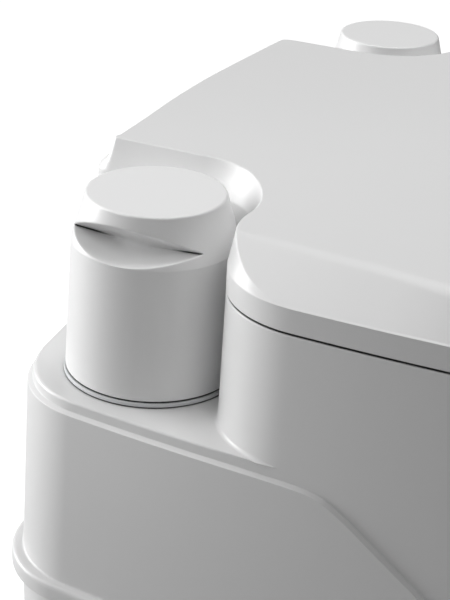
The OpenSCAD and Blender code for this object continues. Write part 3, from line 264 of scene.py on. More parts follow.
STRETCHES = [
    ("nose", N_NOSE), ("front", N_FRONT), ("corner", N_CORNER), ("right", N_SIDE), ("corner", N_CORNER),
    ("back", N_BACK), ("back_nose", N_BACK_NOSE), ("back_notch", N_BACK_NOTCH), ("back_line", N_LINE),
    ("back_ear", N_EAR), ("left", N_LEFT), ("front_ear", N_EAR), ("line", N_LINE), ("notch", N_NOTCH),
]
# For each sample of an outline, the name of the stretch it belongs to
STRETCH = np.concatenate([[name] * (count * DENSE) for name, count in STRETCHES])


def ring(path, d, z):
    n = len(path)
    d, z = np.broadcast_to(d, n), np.broadcast_to(z, n)
    return np.stack([path[:, 0] - d * path[:, 2], path[:, 1] - d * path[:, 3], z], 1).astype(float)


def rounded(rings, radii, n=5):
    """Rows through the rings, column by column, with each corner rounded where there is room for it."""
    rows = [rings[0]]
    for k in range(1, len(rings) - 1):
        p, u, v = rings[k], rings[k - 1] - rings[k], rings[k + 1] - rings[k]
        r = np.broadcast_to(radii[k], len(p)).astype(float)
        if r.max() <= 0:
            rows.append(p)
            continue
        lu, lv = np.linalg.norm(u, axis=1), np.linalg.norm(v, axis=1)
        safe_u, safe_v = np.maximum(lu, 1e-9), np.maximum(lv, 1e-9)
        u, v = u / safe_u[:, None], v / safe_v[:, None]
        half = np.arccos(np.clip((u * v).sum(1), -1, 1)) / 2
        t = np.minimum(r / np.maximum(np.tan(half), 1e-6), 0.48 * np.minimum(lu, lv))
        for s in np.linspace(0, 1, n + 1):
            rows.append(p + u * (t * (1 - s) ** 2)[:, None] + v * (t * s**2)[:, None])
    rows.append(rings[-1])
    return np.array(rows)


# Meshes
SHARP_ANGLE = math.radians(38)
TURNED_STEPS = 4
WELD = 2e-6


def finish_mesh(obj, material, sharp):
    bm = bmesh.new()
    bm.from_mesh(obj.data)
    bmesh.ops.remove_doubles(bm, verts=bm.verts, dist=WELD)
    bmesh.ops.dissolve_degenerate(bm, edges=bm.edges, dist=WELD)
    for f in bm.faces:
        f.smooth = True
    for e in bm.edges:
        e.smooth = not (len(e.link_faces) == 2 and e.calc_face_angle(0) > sharp)
    bm.to_mesh(obj.data)
    bm.free()
    obj.data.materials.clear()
    obj.data.materials.append(material)
    m = obj.modifiers.new("normals", "WEIGHTED_NORMAL")
    m.keep_sharp = True
    m.weight = 50


def mesh_object(name, verts, faces):
    me = bpy.data.meshes.new(name)
    me.from_pydata((np.asarray(verts) * MM).tolist(), [], faces)
    me.update()
    obj = bpy.data.objects.new(name, me)
    scene.collection.objects.link(obj)
    return obj


def grid_object(name, rows, loop=False, centre=None):
    """A skin over rows of points. loop joins the last row to the first; otherwise both ends are closed."""
    m, n, _ = rows.shape
    verts = rows.reshape(-1, 3)
    idx = np.arange(m * n).reshape(m, n)
    right = np.roll(idx, -1, axis=1)
    upper = np.roll(idx, -1, axis=0)
    upper_right = np.roll(right, -1, axis=0)
    last = m if loop else m - 1
    quads = np.stack([idx, right, upper_right, upper], -1)[:last].reshape(-1, 4).tolist()
    if not loop:
        for k, flip in ((0, True), (m - 1, False)):
            c = rows[k].mean(0) if centre is None else np.array([centre[0], centre[1], rows[k][0][2]])
            verts = np.concatenate([verts, [c]])
            tip = len(verts) - 1
            for i in range(n):
                a, b = int(idx[k][i]), int(right[k][i])
                quads.append([b, a, tip] if flip else [a, b, tip])
    return mesh_object(name, verts, quads)


def combine(obj, other, operation):
    m = obj.modifiers.new("combine", "BOOLEAN")
    m.operation = operation
    m.solver = "EXACT"
    m.object = other
    bpy.context.view_layer.update()
    graph = bpy.context.evaluated_depsgraph_get()
    made = bpy.data.meshes.new_from_object(obj.evaluated_get(graph))
    obj.modifiers.clear()
    obj.data = made
    bpy.data.objects.remove(other)


def cut(obj, other):
    combine(obj, other, "DIFFERENCE")


def join(obj, other):
    combine(obj, other, "UNION")


def soft_block(low, high, edge=1.0, segments=3):
    """A box with rounded edges."""
    low, high = np.array(low, float), np.array(high, float)
    bm = bmesh.new()
    bmesh.ops.create_cube(bm, size=1.0)
    for v in bm.verts:
        v.co = Vector(((np.array(v.co) + 0.5) * (high - low) + low) * MM)
    if edge > 0:
        parts = bm.edges[:] + bm.verts[:]
        bmesh.ops.bevel(bm, geom=parts, offset=edge * MM, segments=segments, profile=0.5, affect="EDGES")
    me = bpy.data.meshes.new("block")
    bm.to_mesh(me)
    bm.free()
    obj = bpy.data.objects.new("block", me)
    scene.collection.objects.link(obj)
    return obj


def about(middle, half):
    return middle - half, middle + half


def recess(obj, x, y, z, edge, segments=3):
    """Cuts a box with rounded edges, given by its ranges in x, y and z."""
    cut(obj, soft_block([x[0], y[0], z[0]], [x[1], y[1], z[1]], edge, segments))


def revolve(name, profile, centre, radii=0.5, n=144, loop=False, axis="Z"):
    """A turned piece. profile holds (radius, height) points, from the inside bottom round to the top."""
    a = np.radians(360 * np.arange(n) / n)
    rings = [np.stack([r * np.cos(a), r * np.sin(a), np.full(n, float(z))], 1) for r, z in profile]
    radii = [radii] * len(rings) if np.isscalar(radii) else list(radii)
    if loop:
        rows = rounded([rings[-1]] + rings + [rings[0]], [0] + radii + [0], TURNED_STEPS)[1:-1]
    else:
        rows = rounded(rings, radii, TURNED_STEPS)
    if axis == "-X":
        rows = np.stack([-rows[..., 2], rows[..., 1], rows[..., 0]], -1)
    elif axis == "-Y":
        rows = np.stack([rows[..., 0], -rows[..., 2], rows[..., 1]], -1)
    rows = rows + np.array(centre, float)
    return grid_object(name, rows, loop=loop)


def extruded(name, points, x0, x1):
    """A prism along X. points are (y, z), anticlockwise seen from +X."""
    n = len(points)
    verts = [(x0, y, z) for y, z in points] + [(x1, y, z) for y, z in points]
    ends = [list(range(n))[::-1], list(range(n, 2 * n))]
    sides = [[i, (i + 1) % n, n + (i + 1) % n, n + i] for i in range(n)]
    return mesh_object(name, verts, ends + sides)


def place(obj, material, body, slot, node, sharp=SHARP_ANGLE):
    finish_mesh(obj, material, sharp)
    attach(obj, body)
    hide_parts(node)


# Materials
def node_tree(name):
    mat = bpy.data.materials.new(name)
    mat.use_nodes = True
    return mat, mat.node_tree, mat.node_tree.nodes["Principled BSDF"]


def noise(tree, scale, detail=3.0, rough=0.5, stretch=None):
    coords = tree.nodes.new("ShaderNodeTexCoord")
    tex = tree.nodes.new("ShaderNodeTexNoise")
    tex.inputs["Scale"].default_value = scale
    tex.inputs["Detail"].default_value = detail
    tex.inputs["Roughness"].default_value = rough
    if stretch is None:
        tree.links.new(coords.outputs["Object"], tex.inputs["Vector"])
    else:
        mapping = tree.nodes.new("ShaderNodeMapping")
        mapping.inputs["Scale"].default_value = stretch
        tree.links.new(coords.outputs["Object"], mapping.inputs["Vector"])
        tree.links.new(mapping.outputs["Vector"], tex.inputs["Vector"])
    return tex.outputs["Fac"]


def ranged(tree, value, low, high):
    m = tree.nodes.new("ShaderNodeMapRange")
    m.inputs["To Min"].default_value = low
    m.inputs["To Max"].default_value = high
    tree.links.new(value, m.inputs["Value"])
    return m.outputs["Result"]


def tint(tree, value, dark, light):
    ramp = tree.nodes.new("ShaderNodeValToRGB")
    ramp.color_ramp.elements[0].color = (*dark, 1)
    ramp.color_ramp.elements[1].color = (*light, 1)
    tree.links.new(value, ramp.inputs["Fac"])
    return ramp.outputs["Color"]


def bump(tree, bsdf, layers):
    """layers are (height, distance in mm, strength), the broadest first."""
    last = None
    for height, distance, strength in layers:
        b = tree.nodes.new("ShaderNodeBump")
        b.inputs["Distance"].default_value = distance * MM
        b.inputs["Strength"].default_value = strength
        tree.links.new(height, b.inputs["Height"])
        if last is not None:
            tree.links.new(last, b.inputs["Normal"])
        last = b.outputs["Normal"]
    tree.links.new(last, bsdf.inputs["Normal"])


def painted_crevice_shade(tree, colour, reach):
    """The colour with painted shade: darkened from an ambient occlusion mask where a joint is only a
    millimetre or two wide.
    """
    near = tree.nodes.new("ShaderNodeAmbientOcclusion")
    near.samples = 8
    near.inputs["Distance"].default_value = reach * MM
    shade = tree.nodes.new("ShaderNodeMapRange")
    shade.inputs["From Min"].default_value = 0.3
    shade.inputs["From Max"].default_value = 0.55
    shade.inputs["To Min"].default_value = 0.03
    shade.inputs["To Max"].default_value = 1.0
    tree.links.new(near.outputs["AO"], shade.inputs["Value"])
    mix = tree.nodes.new("ShaderNodeVectorMath")
    mix.operation = "SCALE"
    tree.links.new(colour, mix.inputs[0])
    tree.links.new(shade.outputs["Result"], mix.inputs["Scale"])
    return mix.outputs["Vector"]


def plastic(name, colour, spread, rough, grain=0.02, swell=0.1, coat=0.0, speck=900.0, reach=3.5):
    """Moulded plastic: a cloudy colour with painted shade in narrow joints, uneven gloss, a fine grain and
    the soft swell of a thin wall.
    """
    mat, tree, bsdf = node_tree(name)
    dark = [c * (1 - spread) for c in colour]
    light = [min(1.0, c * (1 + spread)) for c in colour]
    cloudy = tint(tree, noise(tree, 9.0, 2.0), dark, light)
    # The base colour gets painted shade where joints and crevices are narrow
    tree.links.new(painted_crevice_shade(tree, cloudy, reach), bsdf.inputs["Base Color"])
    gloss = ranged(tree, noise(tree, 240.0, 6.0, 0.65), rough - 0.05, rough + 0.05)
    tree.links.new(gloss, bsdf.inputs["Roughness"])
    bsdf.inputs["Coat Weight"].default_value = coat
    bsdf.inputs["Coat Roughness"].default_value = 0.3
    bsdf.inputs["IOR"].default_value = 1.48
    bump(tree, bsdf, [(noise(tree, 7.0, 0.0), swell, 0.5), (noise(tree, speck, 2.0), grain, 0.5)])
    return mat


# The second colour is the same white plastic made lighter, as painted light on the pump knob and the filler
# cap
MOULDED, PAINTED_LIGHT_WHITE = (0.80, 0.80, 0.80), (0.89, 0.89, 0.89)
WHITE = plastic("white_plastic", MOULDED, 0.012, 0.34, grain=0.012, swell=0.15, coat=0.08)
LID_WHITE = plastic("lid_plastic", MOULDED, 0.012, 0.38, grain=0.014, swell=0.08, coat=0.05, speck=1100.0)
KNOB_PAINTED_LIGHT_WHITE = plastic("knob_plastic_painted_light", PAINTED_LIGHT_WHITE, 0.010, 0.32, grain=0.008, swell=0.03, coat=0.08, reach=1.2)
LIGHT = plastic("light_plastic", (0.70, 0.71, 0.72), 0.015, 0.42, grain=0.02, swell=0.03)
GREY = plastic("grey_plastic", (0.20, 0.215, 0.23), 0.06, 0.45, grain=0.03, swell=0.03)
BOWL_WHITE = plastic("bowl_plastic", (0.82, 0.825, 0.83), 0.008, 0.2, grain=0.004, swell=0.04, coat=0.3)
SEAL = plastic("seal_rubber", (0.028, 0.028, 0.03), 0.3, 0.64, grain=0.05, swell=0.02)


def brushed_steel():
    mat, tree, bsdf = node_tree("brushed_steel")
    lines = noise(tree, 60.0, 6.0, 0.6, stretch=(1.0, 14.0, 14.0))
    tree.links.new(tint(tree, lines, (0.50, 0.51, 0.52), (0.70, 0.71, 0.72)), bsdf.inputs["Base Color"])
    tree.links.new(ranged(tree, lines, 0.2, 0.44), bsdf.inputs["Roughness"])
    bsdf.inputs["Metallic"].default_value = 1.0
    bump(tree, bsdf, [(lines, 0.02, 0.4)])
    return mat


def clear_plastic(name, colour, see_through):
    mat, tree, bsdf = node_tree(name)
    dark = [c * 0.93 for c in colour]
    tree.links.new(tint(tree, noise(tree, 30.0, 3.0), dark, colour), bsdf.inputs["Base Color"])
    tree.links.new(ranged(tree, noise(tree, 120.0, 4.0), 0.12, 0.28), bsdf.inputs["Roughness"])
    bsdf.inputs["Transmission Weight"].default_value = see_through
    bsdf.inputs["IOR"].default_value = 1.45
    bump(tree, bsdf, [(noise(tree, 400.0, 2.0), 0.01, 0.4)])
    return mat


STEEL = brushed_steel()
WINDOW = clear_plastic("window_plastic", (0.72, 0.80, 0.84), 0.7)
HOSE = clear_plastic("hose_plastic", (0.55, 0.57, 0.58), 0.4)

# Flush tank
PANEL_HIGH, PANEL_LOW = SHELF_Z - PANEL_DROP, FOOT_Z + PANEL_FOOT
DIVE_LEN = (PANEL_HIGH - PANEL_LOW) / math.tan(math.radians(DIVE_ANGLE))


def ease(t):
    return (t + np.sqrt(t * t + DIVE_ROUND**2)) / 2


def edge_z(path):
    x = path[:, 0]
    z = PANEL_HIGH - math.tan(math.radians(DIVE_ANGLE)) * (ease(x - DIVE_X) - ease(x - DIVE_X - DIVE_LEN))
    return np.where(x < 0, np.maximum(z, PANEL_LOW), np.minimum(z, PANEL_HIGH))


BOWL_LEVELS = np.array([
    [SPLIT_Z + 14, 0, 1], [SPLIT_Z + 18, 0.06, 1], [SPLIT_Z + 44, 0.3, 0.85], [SPLIT_Z + 86, 0.62, 0.5],
    [SPLIT_Z + 132, 0.86, 0.2], [DECK_Z - 6, 0.99, 0], [DECK_Z, 1, 0],
])


def bowl_size(z):
    """Half width, half depth and middle of the bowl's inside at a height, with soft changes of slope."""
    reach = 9.0
    spread = np.linspace(-reach, reach, 13)
    weight = np.exp(-((spread / 5.0) ** 2))
    weight = weight / weight.sum()

    def eased_level(column):
        return float(weight @ np.interp(z + spread, BOWL_LEVELS[:, 0], BOWL_LEVELS[:, column]))

    k, c = eased_level(1), eased_level(2)
    a = OUTLET_R + (BOWL_W / 2 - OUTLET_R) * k
    b = OUTLET_R + (BOWL_D / 2 - OUTLET_R) * k
    return a, b, BOWL + (OUTLET - BOWL) * c


def oval_ring(angles, a, b, c, z):
    x, y = c[0] + a * np.cos(angles), c[1] + b * np.sin(angles)
    return np.stack([x, y, np.full(len(angles), float(z))], 1)


def angles_seen(ring_points, a, b, c):
    return np.arctan2((ring_points[:, 1] - c[1]) / b, (ring_points[:, 0] - c[0]) / a)


def make_flush_tank():
    lip = plain(FLANGE_W / 2, FLANGE_D / 2)
    foot = plain(FOOT_HALF_W + PANEL_STEP, FOOT_HALF_D + PANEL_STEP)
    mid = plain(half_w(PANEL_HIGH) + PANEL_STEP, half_d(PANEL_HIGH) + PANEL_STEP)
    edge = edge_z(mid)
    t = ((edge - FOOT_Z) / (PANEL_HIGH - FOOT_Z))[:, None]
    proud = np.concatenate([foot[:, :2] + (mid[:, :2] - foot[:, :2]) * t, mid[:, 2:]], 1)
    rim = plain(half_w(SHELF_Z), half_d(SHELF_Z))
    shelf = notched(half_w(SHELF_Z), half_d(SHELF_Z))
    deck = notched(half_w(DECK_Z), half_d(DECK_Z))
    gap = np.hypot(*(rim[:, :2] - shelf[:, :2]).T)
    limit = np.where(np.isin(STRETCH, ["notch", "back_notch", "nose"]), 2.0, 8.0)
    for _ in range(6):
        limit = (np.roll(limit, 1) + limit + np.roll(limit, -1)) / 3
    fillet = np.minimum(limit, 0.55 * gap)
    wall = [
        ring(lip, 6, SPLIT_Z),
        ring(lip, 0, SPLIT_Z),
        ring(lip, 0, FOOT_Z),
        ring(foot, 0, FOOT_Z + 0.3),
        ring(proud, 0, edge - 1.2),
        ring(proud, PANEL_STEP, edge),
        ring(rim, 0, SHELF_Z),
        ring(shelf, -fillet, SHELF_Z),
    ]
    rows = list(rounded(wall, [0, 1.5, 3.0, 1.4, 0.6, 0.5, 2.2, 0], 6))
    for a in np.radians(np.linspace(0, 90, 9))[1:]:
        rise = fillet * (1 - math.cos(a))
        share = (rise / (DECK_Z - SHELF_Z))[:, None]
        base = np.concatenate([shelf[:, :2] + (deck[:, :2] - shelf[:, :2]) * share, shelf[:, 2:]], 1)
        rows.append(ring(base, -fillet * (1 - math.sin(a)), SHELF_Z + rise))
    top = ring(deck, 6, DECK_Z)
    grow = BOWL_WALL + BOWL_CLEAR
    seen = angles_seen(top, BOWL_W / 2 + grow, BOWL_D / 2 + grow, BOWL)
    well = [oval_ring(seen, BOWL_W / 2 + grow + 2, BOWL_D / 2 + grow + 2, BOWL, DECK_Z)]
    for z in [DECK_Z - 1.5, DECK_Z - 8] + list(np.linspace(DECK_Z - 20, SPLIT_Z + 8, 14)):
        a, b, c = bowl_size(z)
        well.append(oval_ring(seen, a + grow, b + grow, c, z))
    a, b, c = bowl_size(SPLIT_Z)
    well.append(oval_ring(seen, a + grow, b + grow, c, SPLIT_Z))
    head = rounded([rows[-1], ring(deck, 0, DECK_Z), top, well[0]], [0, 0.9, 0, 0], 6)
    rows = np.array(rows + list(head[1:]) + well[1:])
    tank = grid_object("flush_tank_shell", rows, loop=True)
    corner, lip_r = 3.0, 1.2
    step = [(HINGE_FRONT - lip_r, DECK_Z + 5)]
    quarter = np.radians(np.linspace(0, 90, 7))
    for a in quarter:
        step.append((HINGE_FRONT - lip_r * (1 - math.sin(a)), DECK_Z - lip_r * (1 - math.cos(a))))
    for a in quarter:
        step.append((HINGE_FRONT + corner * (1 - math.cos(a)), HINGE_FLOOR + corner * (1 - math.sin(a))))
    step += [(DECK_D, HINGE_FLOOR), (DECK_D, DECK_Z + 5)]
    cut(tank, extruded("step", step, -DECK_W, DECK_W))
    # A slot through the flange for each latch, and a deeper seat for its hook above the flange
    for s in (-1, 1):
        for depth, low in ((LATCH_T - 0.1, SPLIT_Z - 20), (7.5, FOOT_Z)):
            x = sorted([s * (FLANGE_W / 2 - depth), s * FLANGE_W])
            recess(tank, x, about(0, LATCH_W / 2 + 1), (low, FOOT_Z + 12), 1.0)
    place(tank, WHITE, "base", "white", "flush_tank")


make_flush_tank()

# Bowl


def make_bowl():
    n = 160
    angles = np.radians(360 * np.arange(n) / n)
    levels = [SPLIT_Z - 4.5, SPLIT_Z + 6] + list(np.linspace(SPLIT_Z + 12, DECK_Z - 6, 34))
    inner, outer = [], []
    for z in levels:
        a, b, c = bowl_size(z)
        inner.append(oval_ring(angles, a, b, c, z))
        outer.append(oval_ring(angles, a + BOWL_WALL, b + BOWL_WALL, c, z))
    a, b = BOWL_W / 2, BOWL_D / 2
    inner.append(oval_ring(angles, a, b, BOWL, DECK_Z + 2.4))
    lip = [
        oval_ring(angles, a + 3, b + 3, BOWL, DECK_Z + 2.4),
        oval_ring(angles, a + RIM_W - 2, b + RIM_W - 2, BOWL, DECK_Z + 2),
        oval_ring(angles, a + RIM_W, b + RIM_W, BOWL, DECK_Z + 0.05),
        oval_ring(angles, a + BOWL_WALL + 0.4, b + BOWL_WALL + 0.4, BOWL, DECK_Z + 0.05),
    ]
    rings = outer + [lip[3], lip[2], lip[1], lip[0]] + inner[::-1]
    radii = [0] * len(outer) + [0.3, 0.5, 1.0, 0.5, 1.4] + [0] * (len(inner) - 1)
    rows = rounded(rings, radii, 4)
    obj = grid_object("bowl_shell", rows, loop=True)
    place(obj, BOWL_WHITE, "base", "white", "bowl", math.radians(60))


make_bowl()


# Lid
LID_MIDDLE = np.array([20.0, 0.0])
SKIRT_Z, SLOPE_Z, LEDGE_LOW, LEDGE_HIGH = 397.7, 398.3, 402.0, 402.9


def front_y(x):
    return BOW_FRONT - DECK_D / 2 - np.sqrt(BOW_FRONT**2 - x * x)


def front_plane(x, y):
    """Height of the lid's long front slope, carried on beyond its crease."""
    crease = np.interp(x, [-60, -36, -10, 15, 44, 80], [28.5, 28.0, 26.5, 24.8, 20.0, 17.0])
    return SLOPE_Z + (TOTAL_H - SLOPE_Z) * (y - front_y(x) - 1.2) / crease


def lid_sizes():
    """The outline, and for each sample the inset of the top edge and how much it belongs to a notch."""
    path = notched(DECK_W / 2, DECK_D / 2)
    y = path[:, 1]
    side = np.interp(y, [-100, -55, -15, 23, 74, 116], [11.0, 11.0, 9.4, 8.4, 8.2, 6.8])
    rel = path[:, :2] - PUMP
    angle = np.degrees(np.arctan2(rel[:, 1], rel[:, 0]))
    notch = np.interp(angle, [-30, 0, 29, 47, 62, 77, 87, 95], [3.2, 3.2, 3.2, 4.5, 6.6, 7.6, 7.4, 7.0])
    is_notch = np.isin(STRETCH, ["nose", "line", "notch"])
    is_back_notch = np.isin(STRETCH, ["back_notch", "back_line"])
    notch_w = np.where(is_notch | is_back_notch, 1.0, 0.0)
    for kind, rising in (("front_ear", True), ("back_ear", False), ("back_nose", True)):
        at = np.where(STRETCH == kind)[0]
        ramp = np.linspace(0, 1, len(at))
        notch_w[at] = ramp if rising else ramp[::-1]
    notch_w = notch_w * notch_w * (3 - 2 * notch_w)
    top = np.where(is_back_notch, 6.5, notch)
    top = top * notch_w + side * (1 - notch_w)
    return path, top, notch_w


def drawn_in(points, share):
    """A ring moved towards the lid's middle by a share of the way there."""
    moved = points.copy()
    moved[:, :2] += (LID_MIDDLE - points[:, :2]) * share
    return moved


def make_lid():
    path, top, notch_w = lid_sizes()
    n = len(path)
    # The front slope counts on the nose, on the front and, fading, round the right corner.
    front_w = np.zeros(n)
    front_w[(STRETCH == "nose") | (STRETCH == "front")] = 1.0
    corner = np.where(STRETCH == "corner")[0][: N_CORNER * DENSE]
    fade = np.linspace(1, 0, len(corner))
    front_w[corner] = fade * fade * (3 - 2 * fade)
    inset = np.where(STRETCH == "front", 1.2, top)
    nose = np.where(STRETCH == "nose")[0]
    share = np.linspace(0, 1, len(nose))
    inset[nose] = 3.2 + (1.2 - 3.2) * np.clip((share - 0.55) / 0.45, 0, 1)
    turning = (STRETCH == "corner") & (front_w > 0)
    inset = np.where(turning, np.interp(path[:, 0], [100, 175], [1.2, 11.0]), inset)
    # Height where the steep wall ends: the full height, or where it meets the front slope
    steep = ring(path, inset, 0)
    height = front_plane(steep[:, 0], steep[:, 1])
    steep_z = np.where(front_w > 0, np.clip(height, SLOPE_Z, TOTAL_H), TOTAL_H)
    # Inset of the crease, where the front slope reaches the full height
    crease_in = inset + 1.5
    steps = np.arange(0.0, 45.0, 0.1)
    for i in np.where(front_w > 0)[0]:
        px, py = path[i, 0] - steps * path[i, 2], path[i, 1] - steps * path[i, 3]
        reached = np.where((front_plane(px, py) >= TOTAL_H) & (steps > inset[i]))[0]
        crease_in[i] = max(steps[reached[0]] if len(reached) else 0.0, inset[i] + 1.5)
    for i in corner:
        f = front_w[i]
        crease_in[i] = f * min(crease_in[i], 30.0) + (1 - f) * (top[i] + 1.5)
        inset[i] = f * 1.2 + (1 - f) * top[i]
        steep_z[i] = f * (SLOPE_Z + 0.3) + (1 - f) * TOTAL_H
    crease_z = np.full(n, TOTAL_H)
    # An ear's arc has little room inside, so the crease stays short of its centre.
    room = np.where(np.isin(STRETCH, ["front_ear", "back_ear"]), EAR - 0.7, 60.0)
    crease_in = np.minimum(crease_in, room)
    left_side = np.isin(STRETCH, ["left", "front_ear", "back_ear"])
    for _ in range(8):
        smooth = (np.roll(crease_in, 1) + 2 * crease_in + np.roll(crease_in, -1)) / 4
        crease_in = np.where(left_side, np.minimum(smooth, room), crease_in)
    inset = np.minimum(inset, crease_in - 0.3)
    # A small ledge between the skirt and the steep wall, on the sides and the back only
    ledge = (1 - notch_w) * (1 - front_w)
    d2 = ledge * 3.8 + (1 - ledge) * inset * 0.25
    z2 = ledge * LEDGE_LOW + (1 - ledge) * (SKIRT_Z + (steep_z - SKIRT_Z) * 0.25)
    d3 = ledge * 6.0 + (1 - ledge) * inset * 0.4
    z3 = ledge * LEDGE_HIGH + (1 - ledge) * (SKIRT_Z + (steep_z - SKIRT_Z) * 0.4)
    d3 = np.minimum(d3, inset)
    outer = [
        ring(path, 0, LID_Z),
        ring(path, 0, SKIRT_Z),
        ring(path, d2, z2),
        ring(path, d3, z3),
        ring(path, inset, steep_z),
        ring(path, crease_in, crease_z),
        drawn_in(ring(path, crease_in, TOTAL_H), 0.07),
    ]
    outer_radii = [0, 3.5, 0.8, 0.8, 1.6, 5.0 + 9.0 * front_w, 0]
    wall = LID_WALL
    inner = [
        drawn_in(ring(path, crease_in, TOTAL_H - wall), 0.09),
        drawn_in(ring(path, crease_in, TOTAL_H - wall), 0.025),
        ring(path, inset + wall, np.minimum(steep_z, TOTAL_H - wall) - 0.6 * wall * (front_w > 0)),
        ring(path, wall, SKIRT_Z - 3),
        ring(path, wall, LID_Z),
    ]
    inner_rows = rounded(inner, [0, 3.0, 2.0, 3.0, 0], 3)
    outer_rows = rounded([inner[-1]] + outer, [0, 0.35] + outer_radii[1:], 6)[1:]
    rows = np.concatenate([inner_rows, outer_rows])
    lid = grid_object("lid_shell", rows, centre=LID_MIDDLE)
    for i, x in enumerate(HINGE_XS):
        s = i * 2 - 1
        at = x + KNUCKLE_W / 2 + SIDE_CLEAR if s > 0 else x - KNUCKLE_W * 1.5 - SIDE_CLEAR
        join(lid, knuckle(at, KNUCKLE_W))
        back = [at, HINGE_Y - KNUCKLE_R, HINGE_Z]
        join(lid, soft_block(back, [at + KNUCKLE_W, HINGE_Y - 3, TOTAL_H - 1.2], 0))
        tall = (LID_Z - 5, HINGE_Z + 2.3 * EAR_HALF)
        recess(lid, about(x, KNUCKLE_W / 2 + 1), (HINGE_Y, DECK_D), tall, 1.0)
    place(lid, LID_WHITE, "lid_part", "white", "lid")


def knuckle(x, w):
    """A hinge knuckle along X with eased ends."""
    profile = [(0.01, 0), (KNUCKLE_R, 0), (KNUCKLE_R, w), (0.01, w)]
    made = revolve("knuckle", profile, (0, 0, 0), [0, 0.5, 0.5, 0], 48, axis="-X")
    made.data.transform(Matrix.Translation(Vector(((x + w) * MM, HINGE_Y * MM, HINGE_Z * MM))))
    return made


make_lid()


# Pump knob and filler cap
def cap_columns(k):
    """The corner points of each upright section of a tall cap with a finger scoop in front."""
    cone = (KNOB_SHOULDER - KNOB_TOP) * k / (KNOB_H - SHOULDER_H)
    slope = math.tan(math.radians(SCOOP_ANGLE))
    middle = SHOULDER_H + SCOOP_R + 0.35

    def cone_r(z):
        return KNOB_SHOULDER * k - cone * np.maximum(z - SHOULDER_H, 0)

    def floor_z(r, a):
        return middle - math.sqrt(SCOOP_R**2 - (r * math.sin(a)) ** 2)

    def ceiling_z(r, a):
        return SHOULDER_H - 0.3 + slope * (r * math.cos(a) - SCOOP_IN * k)

    def floor_edge(a):
        r = KNOB_SHOULDER * k
        for _ in range(40):
            r = float(cone_r(floor_z(r, a)))
        return r, floor_z(r, a)

    def ceiling_edge(a):
        r = KNOB_TOP * k
        for _ in range(60):
            r = float(cone_r(ceiling_z(r, a)))
        return r, ceiling_z(r, a)

    def inner(a):
        low, high = 0.0, floor_edge(a)[0]
        for _ in range(50):
            mid = (low + high) / 2
            if ceiling_z(mid, a) > floor_z(mid, a):
                high = mid
            else:
                low = mid
        return low, floor_z(low, a)

    low, high = 0.0, math.radians(85)
    for _ in range(50):
        mid = (low + high) / 2
        r, z = floor_edge(mid)
        if ceiling_z(r, mid) > z:
            low = mid
        else:
            high = mid
    end = low * 0.9995
    scooped = end * np.sin(np.radians(np.linspace(-90, 90, 121)))
    rest = np.linspace(end, 2 * math.pi - end, 152)[1:-1]
    columns, angles = [], list(scooped) + list(rest)
    end_r, end_z = floor_edge(end)
    for a in scooped:
        columns.append([floor_edge(a), inner(a), ceiling_edge(a)])
    for a in rest:
        columns.append([(end_r, end_z)] * 3)
    return np.array(angles), np.array(columns)


def make_cap(name, k, centre, material, body, node):
    angles, scoop = cap_columns(k)
    n = len(angles)
    flat = np.ones(n)

    def at(r, z):
        r, z = r * flat, z * flat
        return np.stack([r * np.sin(angles), -r * np.cos(angles), z], 1)

    inside = 60.0
    rings = [
        at(2.0, inside),
        at((KNOB_SHOULDER - 2.6) * k, inside),
        at(KNOB_R * k - 2.5, 0.0),
        at(KNOB_R * k, 0.0),
        at(KNOB_SHOULDER * k, SHOULDER_H),
        at(scoop[:, 0, 0], scoop[:, 0, 1]),
        at(scoop[:, 1, 0], scoop[:, 1, 1]),
        at(scoop[:, 2, 0], scoop[:, 2, 1]),
        at(KNOB_TOP * k, KNOB_H),
        at(KNOB_TOP * k * 0.6, KNOB_H),
        at(KNOB_TOP * k * 0.25, KNOB_H),
    ]
    rows = rounded(rings, [0, 2.0, 0.5, 0.9, 1.2, 0.9, 5.0, 1.0, 1.5, 0, 0], 8)
    rows = rows + np.array([centre[0], centre[1], KNOB_Z])
    obj = grid_object(name, rows)
    place(obj, material, body, "white", node, math.radians(50))


# Both caps take the white made lighter, as painted light
make_cap("pump_knob_shell", 1.0, PUMP, KNOB_PAINTED_LIGHT_WHITE, "pump", "pump_knob")
make_cap("fill_cap_shell", CAP_R / KNOB_R, FILL, KNOB_PAINTED_LIGHT_WHITE, "fill_cap_part", "fill_cap")


def make_collar(name, centre, bore, tube, cap_r, low, top, lip, node):
    """The ring under a cap, in one with the tube that passes through the tank's shelf."""
    foot, high = SHELF_Z + 0.5, SHELF_Z + COLLAR_H
    under, rim = cap_r - 0.9, cap_r + 0.8
    profile = [
        (bore, low), (tube, low), (tube, SHELF_Z), (under, SHELF_Z), (under, foot),
        (rim, foot), (rim, high), (tube, high), (tube, top), (bore, top),
    ]
    obj = revolve(name, profile, (*centre, 0), [0.1] * 5 + [0.3, 0.6, 0.3, lip, lip], loop=True)
    place(obj, LIGHT, "base", "light", node)


make_collar(
    "pump_collar_ring", PUMP, GUIDE_R - 2.5, GUIDE_R, KNOB_R, SHELF_Z - 10, KNOB_Z + SHOULDER_H - 8, 0.8,
    "pump_collar",
)
make_collar(
    "fill_neck_ring", FILL, NECK_R, NECK_R + 3, CAP_R, SHELF_Z - 20, SHELF_Z + NECK_H, 0.6,
    "fill_neck",
)


